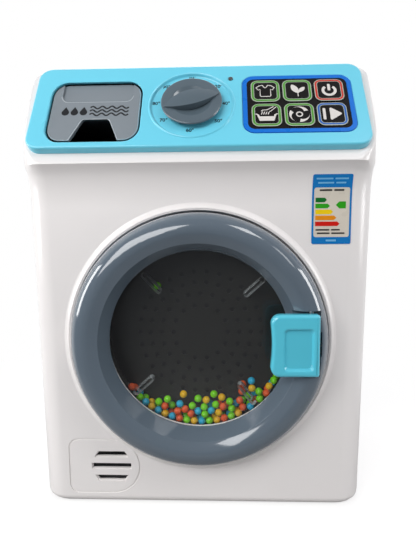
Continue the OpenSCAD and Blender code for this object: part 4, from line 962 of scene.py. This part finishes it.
class Mark(Enum):
    """The pictograms on the keys."""

    GARMENT = "garment"
    LEAF = "leaf"
    POWER = "power"
    HANDWASH = "handwash"
    SPIN = "spin"
    START = "start"


@dataclass
class Pictogram:
    """A white pictogram, drawn in mm about the middle of its key."""

    mark: Mark
    thick: float = 0.06

    def shapes(self) -> list[bmesh.types.BMesh]:
        """Returns the pictogram's closed shapes."""
        return {Mark.GARMENT: self.garment, Mark.LEAF: self.leaf, Mark.POWER: self.power,
                Mark.HANDWASH: self.handwash, Mark.SPIN: self.spin, Mark.START: self.start}[self.mark]()

    def line(self, points: Sequence[Point], width: float, closed: bool = False) -> bmesh.types.BMesh:
        """Returns a line of the pictogram."""
        return line_shape(points, width, self.thick, closed)

    def garment(self) -> list[bmesh.types.BMesh]:
        """Draws a short-sleeved shirt in outline.

        Returns:
            The closed shapes.
        """
        right = [(1.5, 4.4), (3.4, 3.9), (5.2, 2.4), (3.9, 0.6), (2.9, 1.2), (3.0, -3.6), (2.4, -4.3)]
        neck = [(-0.8, 3.0), (0.0, 2.3), (0.8, 3.0)]
        left = [(-x, y) for x, y in reversed(right)]
        return [self.line(neck + right + left, 0.6, True)]

    def leaf(self) -> list[bmesh.types.BMesh]:
        """Draws two leaves on one stem.

        Returns:
            The closed shapes.
        """
        big = flat_shape(turned(lens(7.4, 3.6), 118, -1.3, 1.2), self.thick)
        small = flat_shape(turned(lens(5.2, 2.6), 46, 2.6, 0.6), self.thick)
        stem = self.line([(-3.0, 4.3), (-1.6, 1.6), (0.3, -2.0), (0.4, -4.6)], 0.5)
        twig = self.line([(0.35, -2.2), (1.4, -0.8), (2.2, 0.1)], 0.5)
        return [big, small, stem, twig]

    def power(self) -> list[bmesh.types.BMesh]:
        """Draws an open ring with a bar in its gap.

        Returns:
            The closed shapes.
        """
        ring = arc(0, -0.5, 4.2, 128, 412, 30) + arc(0, -0.5, 2.6, 412, 128, 30)
        bar = rounded(-0.75, -0.6, 0.75, 4.5, 0.6)
        return [flat_shape(ring, self.thick), flat_shape(bar, self.thick)]

    def handwash(self) -> list[bmesh.types.BMesh]:
        """Draws a basin with a hand that dips into it.

        Returns:
            The closed shapes.
        """
        tub = flat_shape([(-5.4, 0.2), (-4.0, -4.4), (4.0, -4.4), (5.4, 0.2), (4.2, 0.2), (3.9, -1.2),
                          (-3.9, -1.2), (-4.2, 0.2)], self.thick)
        rim = self.line([(-6.2, 0.5), (-5.0, 0.5)], 0.6)
        rim_right = self.line([(5.0, 0.5), (6.2, 0.5)], 0.6)
        arm = self.line([(5.4, 5.6), (2.6, 2.8), (1.6, 2.2)], 0.5)
        palm = self.line([(4.0, 5.9), (0.4, 3.6), (-2.2, 3.4), (-2.9, 2.6)], 0.55)
        fingers = [self.line([(x, 2.4 - 0.15 * i), (x - 0.7, 0.2)], 0.5)
                   for i, x in enumerate((-2.2, -1.0, 0.2, 1.4))]
        return [tub, rim, rim_right, arm, palm, *fingers]

    def spin(self) -> list[bmesh.types.BMesh]:
        """Draws three swirling blades round a small ring.

        Returns:
            The closed shapes.
        """
        blade = arc(0, 0, 5.6, -50, 50, 14) + arc(1.157, 1.379, 3.8, 50, -68, 12)[1:]
        blades = [flat_shape(turned(blade, 120 * i + 78), self.thick) for i in range(3)]
        hub = self.line(arc(0, 0, 1.6, 0, 330, 11), 0.8, True)
        return [*blades, hub]

    def start(self) -> list[bmesh.types.BMesh]:
        """Draws a bar and a triangle.

        Returns:
            The closed shapes.
        """
        bar = flat_shape(rounded(-5.1, -4.1, -3.6, 4.1, 0.5), self.thick)
        corner = 0.7
        triangle = (arc(-0.6, -3.6, corner, 180, 300, 5) + arc(4.4, 0, corner, -60, 60, 5)
                    + arc(-0.6, 3.6, corner, 60, 180, 5))
        return [bar, flat_shape(triangle, self.thick)]


@dataclass
class KeyPad:
    """Six square press keys with coloured borders and pictograms."""

    middle_x: float = 56.3
    middle_up: float = 29.6
    pitch: float = 17.9
    side: float = 16.3
    corner: float = 3.9
    corner_steps: int = 7
    proud: float = 0.4
    depth: float = 2.6
    rings: tuple[float, ...] = (0.45, 1.05, 0.3)
    dome: float = 0.12
    stem_radius: float = 2.4
    stem_length: float = 2.2
    stem_drop: float = 1.0
    print_sink: float = 0.01
    keys: tuple[tuple[Mark, Finish, str], ...] = (
        (Mark.GARMENT, INK_GREEN, "key_green"), (Mark.LEAF, INK_GREEN, "key_green"),
        (Mark.POWER, INK_RED, "key_red"), (Mark.HANDWASH, INK_GREEN, "key_green"),
        (Mark.SPIN, INK_GREEN, "key_green"), (Mark.START, INK_BLUE, "key_blue"))

    def build(self) -> None:
        """Builds the keys in two rows of three, from the upper left."""
        for number, (mark, border, slot) in enumerate(self.keys):
            row, column = divmod(number, 3)
            self.key(column - 1, 0.5 - row, mark, border, slot)
        dress(STEEL, "key_switches")

    def cap(self, piece: Piece, border: Finish) -> bmesh.types.BMesh:
        """Builds a key cap about the origin.

        Args:
            piece: the piece that takes the finishes.
            border: the finish of the coloured border.

        Returns:
            The cap with its rings numbered by finish.
        """
        bm = bmesh.new()
        bmesh.ops.create_grid(bm, x_segments=1, y_segments=1, size=self.side * MM / 2)
        bmesh.ops.bevel(bm, geom=bm.verts[:], offset=self.corner * MM, offset_type="OFFSET",
                        segments=self.corner_steps, profile=0.5, affect="VERTICES", material=-1)
        body = bmesh.ops.extrude_face_region(bm, geom=bm.faces[:])
        bmesh.ops.translate(bm, vec=(0, 0, -self.depth * MM),
                            verts=[v for v in body["geom"] if isinstance(v, bmesh.types.BMVert)])
        bmesh.ops.recalc_face_normals(bm, faces=bm.faces)
        black = piece.finish_index(INK_BLACK)
        for face in bm.faces:
            face.material_index = black
        centre = max(bm.faces, key=lambda f: f.calc_center_median().z)
        lift = self.dome * MM
        for finish, width in zip((INK_GREY, border, INK_GREY), self.rings):
            ring = bmesh.ops.inset_region(bm, faces=[centre], thickness=width * MM, depth=lift,
                                          use_even_offset=True)
            for face in ring["faces"]:
                face.material_index = piece.finish_index(finish)
            lift = 0.0
        return bm

    def key(self, column: int, row: float, mark: Mark, border: Finish, slot: str) -> None:
        """Builds one key with its pictogram.

        Args:
            column: how many keys it lies to the right of the pad's middle.
            row: how many keys it lies above the pad's middle.
            mark: its pictogram, whose name its node and its body share.
            border: the finish of its border.
            slot: the record's material slot.
        """
        node_name = f"key_{mark.value}"
        piece = Piece(node_name, f"{node_name}_body", slot)
        place = PANEL.place(self.middle_x + column * self.pitch, self.middle_up + row * self.pitch,
                            self.proud)
        cap = self.cap(piece, border)
        bmesh.ops.transform(cap, matrix=place, verts=cap.verts)
        piece.absorb(cap)
        stem = bmesh.new()
        bmesh.ops.create_cone(stem, cap_ends=True, segments=24, radius1=self.stem_radius * MM,
                              radius2=self.stem_radius * MM, depth=self.stem_length * MM)
        piece.add(stem, INK_BLACK, place @ Matrix.Translation((0, 0, -(self.depth + self.stem_drop) * MM)))
        top = place @ Matrix.Translation((0, 0, (self.dome - self.print_sink) * MM))
        for shape in Pictogram(mark).shapes():
            piece.add(shape, INK_WHITE, top)
        piece.done()


@dataclass
class DetergentDrawer:
    """The grey drawer with its tray, its housing and a printed mark."""

    sink: float = 1.0
    lid_radius: float = 0.8
    rim_lean: tuple[float, float] = (0.1, 0.97)
    rim_margin: float = 0.01
    scoop_end: float = 46.5
    print_mm: float = 0.05
    mark_x: float = -58.0
    mark_up: float = 26.8
    drops_x: tuple[float, ...] = (-17.0, -11.8, -6.6)
    waves_x: float = -3.0
    waves_up: tuple[float, ...] = (-2.3, 0.3, 2.9)
    wave_length: float = 5.5
    wave_height: float = 0.9
    wave_width: float = 1.05
    wave_step: float = 0.5
    wave_points: int = 45

    def build(self) -> None:
        """Builds the drawer front and the tray, and dresses the housing."""
        front = Piece("drawer_front", "drawer", "drawer_grey")
        lid = cad_copy("drawer_front")
        round_edges(lid, self.on_top, self.lid_radius)
        front.add(lid, DRAWER_GREY)
        # The faces of the lid's rounded rim take a paler grey: a painted highlight.
        rim_painted_highlight = front.finish_index(DRAWER_RIM_PAINTED_HIGHLIGHT)
        for face in front.bm.faces:
            depth = -self.sink - PANEL.local(face.calc_center_median()).z
            lean = face.normal.dot(PANEL.normal())
            if self.rim_margin < depth < self.lid_radius and self.rim_lean[0] < lean < self.rim_lean[1]:
                face.material_index = rim_painted_highlight
        for shape, x in self.mark():
            front.add(shape, INK_SLATE, PANEL.place(self.mark_x + x, self.mark_up, -self.sink))
        front.done()
        copied_piece("drawer_tray", "drawer", "drawer_grey", DRAWER_GREY).done(SMALL_EDGE_MM)
        dress(DARK_PLASTIC, "drawer_housing")

    def on_top(self, edge: bmesh.types.BMEdge) -> bool:
        """Says whether an edge lies in the lid's top face, short of the scoop's open end."""
        spots = [PANEL.local(vert.co) for vert in edge.verts]
        return all(abs(p.z + self.sink) < IN_PLANE_MM and p.y < self.scoop_end for p in spots)

    def mark(self) -> list[tuple[bmesh.types.BMesh, float]]:
        """Draws three drops and three waves, in place of the lettering on the lid.

        Returns:
            Each shape with its place across.
        """
        drop = [(0, 3.5)] + arc(0, -0.6, 2.15, 30, -210, 14)
        drops = [(flat_shape(drop, self.print_mm), x) for x in self.drops_x]
        along = [self.wave_step * i for i in range(self.wave_points)]
        wave = [(x, self.wave_height * math.sin(math.tau * x / self.wave_length)) for x in along]
        waves = [(line_shape([(x, y + up) for x, y in wave], self.wave_width, self.print_mm), self.waves_x)
                 for up in self.waves_up]
        return drops + waves


@dataclass
class Dial:
    """The grey dial with its grip."""

    skirt_radius: float = 16.0
    skirt_top: float = 0.5
    skirt_taper: float = 0.85
    edge_mm: float = 0.3
    edge_steps: int = 3

    def knob(self) -> None:
        """Builds the knob, whose skirt narrows towards the panel."""
        piece = copied_piece("dial_knob", "dial", "dial_grey", DIAL_GREY)
        out = PANEL.place(*DIAL_CENTRE)
        back = out.inverted()
        for vert in piece.bm.verts:
            spot = back @ vert.co / MM
            if spot.z < self.skirt_top and spot.xy.length > self.skirt_radius:
                spot.xy *= self.skirt_taper
                vert.co = out @ (spot * MM)
        piece.done(self.edge_mm, self.edge_steps)

    def build(self) -> None:
        """Builds the knob and dresses what it turns."""
        self.knob()
        dress(DARK_PLASTIC, "dial_shaft", "dial_switch")


@dataclass
class Door:
    """The porthole door with its ring, window, hinge and handle."""

    edge_mm: float = 0.3
    handle_face_y: float = -88.4
    handle_radius: float = 1.9
    handle_steps: int = 5
    cad_pad: tuple[Point, Point] = ((54.85, 102.4), (6.75, 10.8))
    soft_pad: tuple[Point, Point] = ((54.35, 100.4), (8.1, 11.5))
    pad_y: float = -87.9
    pad_slope: float = 1.25
    pad_depth: float = 1.1
    pad_radius: float = 0.6
    pad_steps: int = 4

    @staticmethod
    def in_pad(point: Vector, pad: tuple[Point, Point], margin: float = 0.1) -> bool:
        """Says whether a row-frame point lies within a pad, given as its centre and half size."""
        (cx, cz), (half_x, half_z) = pad
        return abs(point.x / MM - cx) < half_x + margin and abs(point.z / MM - cz) < half_z + margin

    def handle(self) -> None:
        """Builds the handle with rounded edges and a soft pad with sloping sides."""
        piece = Piece("door_handle", "handle", "handle_blue")
        bm = cad_copy("door_handle")

        def in_plane(vert: bmesh.types.BMVert, y: float) -> bool:
            """Says whether a vertex lies at a depth y, in mm."""
            return abs(vert.co.y / MM - y) < IN_PLANE_MM

        ((cx, cz), (half_x, half_z)) = self.cad_pad
        ((to_x, to_z), (to_half_x, to_half_z)) = self.soft_pad
        for vert in bm.verts:
            sunk = in_plane(vert, self.pad_y)
            if (sunk or in_plane(vert, self.handle_face_y)) and self.in_pad(vert.co, self.cad_pad):
                inset = self.pad_slope if sunk else 0.0
                vert.co.x = (to_x + (vert.co.x / MM - cx) * (to_half_x - inset) / half_x) * MM
                vert.co.z = (to_z + (vert.co.z / MM - cz) * (to_half_z - inset) / half_z) * MM
                vert.co.y += self.pad_depth * MM if sunk else 0.0

        def on_face(edge: bmesh.types.BMEdge, at_pad: bool) -> bool:
            """Says whether an edge lies in the handle's face, at the pad or away from it."""
            return (all(in_plane(vert, self.handle_face_y) for vert in edge.verts)
                    and self.in_pad(edge.verts[0].co, self.soft_pad) == at_pad)

        round_edges(bm, lambda edge: on_face(edge, False), self.handle_radius, self.handle_steps)
        round_edges(bm, lambda edge: on_face(edge, True), self.pad_radius, self.pad_steps)
        piece.add(bm, HANDLE_BLUE)
        piece.done(SMALL_EDGE_MM)

    def build(self) -> None:
        """Builds the door's pieces."""
        for node_name in ("door_ring", "door_back_ring"):
            copied_piece(node_name, "door", "ring_grey", RING_GREY).done(self.edge_mm)
        copied_piece("door_window", "door", "clear_window", CLEAR_WINDOW).done()
        copied_piece("hinge_bracket", "root", "shell_white", SHELL_WHITE).done(SMALL_EDGE_MM)
        self.handle()
        copied_piece("latch_tongue", "handle", "dark_plastic", DARK_PLASTIC).done(SMALL_EDGE_MM)
        dress(SHELL_WHITE, "latch_strike")
        dress(STEEL, "hinge_pin", "hinge_screws", "handle_pin", "handle_spring")


@dataclass
class Drum:
    """The dark drum with its clear cover and loose beads."""

    cover_back_y: float = -59.9
    cover_margin: float = 0.1
    wall_lean: float = 0.5
    dimple_y: float = -49.3
    dimple_margin: float = 0.05
    floor_lean: float = 0.9

    def cover(self) -> None:
        """Builds the clear cover, whose ribs have a satin wall."""
        piece = copied_piece("chamber_cover", "drum", "clear_window", CLEAR_COVER)
        satin = piece.finish_index(CLEAR_RIB)
        for face in piece.bm.faces:
            behind = face.calc_center_median().y / MM > self.cover_back_y + self.cover_margin
            if behind and abs(face.normal.y) < self.wall_lean:
                face.material_index = satin
        piece.done(FINE_EDGE_MM)

    def build(self) -> None:
        """Builds the drum, its cover and its beads."""
        drum = copied_piece("drum", "drum", "drum_dark", DRUM_DARK)
        # The dimple floors take a darker charcoal: painted shade.
        dimple_painted_shade = drum.finish_index(DRUM_DIMPLE_PAINTED_SHADE)
        for face in drum.bm.faces:
            sunk = abs(face.calc_center_median().y / MM - self.dimple_y) < self.dimple_margin
            if sunk and face.normal.y < -self.floor_lean:
                face.material_index = dimple_painted_shade
        drum.done()
        self.cover()
        for batch, finish in BEADS.items():
            copied_piece(f"beads_{batch}", "drum", f"bead_{batch}", finish).done()
        dress(STEEL, "drum_shaft")
        dress(ACETAL, "drum_gear")


@dataclass
class Works:
    """Everything inside the case: drive, board, loudspeaker and batteries."""

    def build(self) -> None:
        """Dresses the inner nodes."""
        dress(BRONZE, "drum_bush")
        dress(DARK_PLASTIC, "drive_plate", "gear_cover", "loudspeaker", "battery_box")
        dress(STEEL, "drive_plate_screws", "idler_pin", "motor_shaft", "motor", "gear_cover_screws",
              "board_screws", "battery_contacts")
        dress(ACETAL, "idler_gear", "motor_pinion")
        dress(BOARD_GREEN, "circuit_board")
        dress(CELL_WRAP, "battery_cells")


@dataclass(frozen=True)
class Softbox:
    """A soft rectangular lamp that is aimed at the machine."""

    name: str
    place: tuple[float, float, float]
    aim: tuple[float, float, float]
    size: tuple[float, float]
    watts: float

    def build(self) -> None:
        """Adds the lamp."""
        lamp = bpy.data.lights.new(self.name, "AREA")
        lamp.shape = "RECTANGLE"
        lamp.size, lamp.size_y = self.size
        lamp.energy = self.watts
        obj = add_object(self.name, lamp)
        obj.location = self.place
        obj.rotation_euler = (Vector(self.aim) - Vector(self.place)).to_track_quat("-Z", "Y").to_euler()


@dataclass
class Studio:
    """White floor, soft lamps, pale surroundings and the camera."""

    camera_place: tuple[float, float, float] = (0.01341, -0.30585, 0.16264)
    pitch_deg: float = 6.02
    yaw_deg: float = -1.92
    roll_deg: float = -0.43
    focal_px: float = 417.0
    image_px: float = 416.0
    sensor_mm: float = 36.0
    clip_start: float = 0.005
    sky_colour: str = "#f4f6ff"
    front_strength: float = 0.14
    back_strength: float = 0.3
    sky_strength: float = 0.2
    back_from: float = -0.2
    back_to: float = 0.3
    paper_colour: str = "#a09f9e"
    floor_radius: float = 0.5
    floor_glow: float = 0.68
    fade_from: float = 0.12
    fade_to: float = 0.34
    lamps: tuple[Softbox, ...] = (
        Softbox("window_left", (-0.5, -0.8, 0.62), (0.0, -0.05, 0.15), (0.75, 0.5), 7.2),
        Softbox("window_right", (0.85, -0.6, 0.75), (0.0, 0.0, 0.14), (0.2, 0.3), 0.65),
        Softbox("window_high", (0.6, -0.75, 1.35), (0.0, -0.05, 0.2), (0.4, 0.4), 3.2),
        Softbox("side_left", (-1.0, -0.2, 0.35), (0.0, 0.0, 0.14), (0.3, 0.5), 4.0),
        Softbox("side_right", (1.0, -0.2, 0.35), (0.0, 0.0, 0.14), (0.3, 0.5), 3.6),
        Softbox("ceiling", (0.0, 0.6, 1.1), (0.0, 0.0, 0.15), (0.8, 0.5), 3.0))

    def build(self) -> None:
        """Builds the floor, the lamps, the surroundings and the camera."""
        self.floor()
        self.surroundings()
        for lamp in self.lamps:
            lamp.build()
        self.camera()

    def camera(self) -> None:
        """Places the camera where the photograph was taken from."""
        yaw, pitch, roll = (math.radians(a) for a in (self.yaw_deg, self.pitch_deg, self.roll_deg))
        ahead = Vector((math.sin(yaw) * math.cos(pitch), math.cos(yaw) * math.cos(pitch), -math.sin(pitch)))
        level = Vector((math.cos(yaw), -math.sin(yaw), 0))
        up = level.cross(ahead)
        right_axis = level * math.cos(roll) + up * math.sin(roll)
        up_axis = up * math.cos(roll) - level * math.sin(roll)
        data = bpy.data.cameras.new("camera")
        data.sensor_fit = "HORIZONTAL"
        data.sensor_width = self.sensor_mm
        data.lens = self.focal_px / self.image_px * self.sensor_mm
        data.clip_start = self.clip_start
        obj = add_object("camera", data)
        turn = Matrix((right_axis, up_axis, -ahead)).transposed().to_4x4()
        obj.matrix_world = Matrix.Translation(self.camera_place) @ turn
        bpy.context.scene.camera = obj

    def surroundings(self) -> None:
        """Lights the room softly, and shows it white to the camera and in reflections of its back."""
        world = bpy.data.worlds.new("room")
        bpy.context.scene.world = world
        world.use_nodes = True
        tree = world.node_tree
        tree.nodes.clear()
        place = add_node(tree, "ShaderNodeTexCoord").outputs["Generated"]
        way = add_node(tree, "ShaderNodeSeparateXYZ", {0: place}).outputs
        behind = add_node(tree, "ShaderNodeMapRange", {
            "Value": way["Y"], "From Min": self.back_from, "From Max": self.back_to},
            interpolation_type="SMOOTHSTEP").outputs[0]
        sky = add_node(tree, "ShaderNodeMapRange", {
            "Value": way["Z"], "To Max": self.sky_strength}, interpolation_type="SMOOTHSTEP").outputs[0]
        sides = add_node(tree, "ShaderNodeMath", {0: behind, 1: self.back_strength, 2: self.front_strength},
                         operation="MULTIPLY_ADD").outputs[0]
        level = add_node(tree, "ShaderNodeMath", {0: sides, 1: sky}, operation="ADD").outputs[0]
        rays = add_node(tree, "ShaderNodeLightPath").outputs
        bent = add_node(tree, "ShaderNodeMath", {0: rays["Is Glossy Ray"], 1: rays["Is Transmission Ray"]},
                        operation="MAXIMUM").outputs[0]
        mirrored = add_node(tree, "ShaderNodeMath", {0: bent, 1: behind}, operation="MULTIPLY").outputs[0]
        share = add_node(tree, "ShaderNodeMath", {0: rays["Is Camera Ray"], 1: mirrored},
                         operation="MAXIMUM").outputs[0]
        soft = add_node(tree, "ShaderNodeBackground", {"Color": linear(self.sky_colour), "Strength": level})
        white = add_node(tree, "ShaderNodeBackground", {"Color": WHITE, "Strength": 1.0})
        mixed = add_node(tree, "ShaderNodeMixShader", {0: share, 1: soft.outputs[0], 2: white.outputs[0]})
        add_node(tree, "ShaderNodeOutputWorld", {"Surface": mixed.outputs[0]})

    def floor(self) -> None:
        """Builds the white floor, which keeps the machine's shadow and fades into the white room."""
        bm = bmesh.new()
        bmesh.ops.create_circle(bm, cap_ends=True, segments=96, radius=self.floor_radius)
        mesh = bpy.data.meshes.new("studio_floor")
        bm.to_mesh(mesh)
        bm.free()
        mesh.materials.append(self.paper())
        add_object("studio_floor", mesh)

    def paper(self) -> bpy.types.Material:
        """Builds the floor's material.

        Returns:
            Matt paper with a glow for the camera, white far from the machine and clear there to reflections.
        """
        material, tree = empty_material("white_paper_sweep")
        place = add_node(tree, "ShaderNodeTexCoord").outputs["Object"]
        away = add_node(tree, "ShaderNodeVectorMath", {0: place}, operation="LENGTH").outputs["Value"]
        fade = add_node(tree, "ShaderNodeMapRange", {
            "Value": away, "From Min": self.fade_from, "From Max": self.fade_to},
            interpolation_type="SMOOTHSTEP").outputs[0]
        rays = add_node(tree, "ShaderNodeLightPath").outputs
        share = add_node(tree, "ShaderNodeMath", {0: fade, 1: rays["Is Camera Ray"]}, operation="MULTIPLY")
        edge = add_node(tree, "ShaderNodeMath", {0: fade, 1: rays["Is Glossy Ray"]}, operation="MULTIPLY")
        matt = add_node(tree, "ShaderNodeBsdfDiffuse", {"Color": linear(self.paper_colour)})
        glow = add_node(tree, "ShaderNodeMath", {0: rays["Is Camera Ray"], 1: self.floor_glow},
                        operation="MULTIPLY")
        lift = add_node(tree, "ShaderNodeEmission", {"Color": WHITE, "Strength": glow.outputs[0]})
        near = add_node(tree, "ShaderNodeAddShader", {0: matt.outputs[0], 1: lift.outputs[0]})
        white = add_node(tree, "ShaderNodeEmission", {"Color": WHITE, "Strength": 1.0})
        mixed = add_node(tree, "ShaderNodeMixShader", {0: share.outputs[0], 1: near.outputs[0],
                                                       2: white.outputs[0]})
        gone = add_node(tree, "ShaderNodeBsdfTransparent")
        faded = add_node(tree, "ShaderNodeMixShader", {0: edge.outputs[0], 1: mixed.outputs[0],
                                                       2: gone.outputs[0]})
        add_node(tree, "ShaderNodeOutputMaterial", {"Surface": faded.outputs[0]})
        return material


def main() -> None:
    """Builds the machine and its studio in order."""
    logging.basicConfig(level=logging.INFO, format="%(message)s")
    for assembly in (Case(), ControlPanel(), KeyPad(), DetergentDrawer(), Dial(), Door(), Drum(), Works(),
                     Studio()):
        LOG.info("building %s", type(assembly).__name__)
        assembly.build()
    bpy.context.scene.view_settings.view_transform = "Standard"


if __name__ == "__main__":
    main()
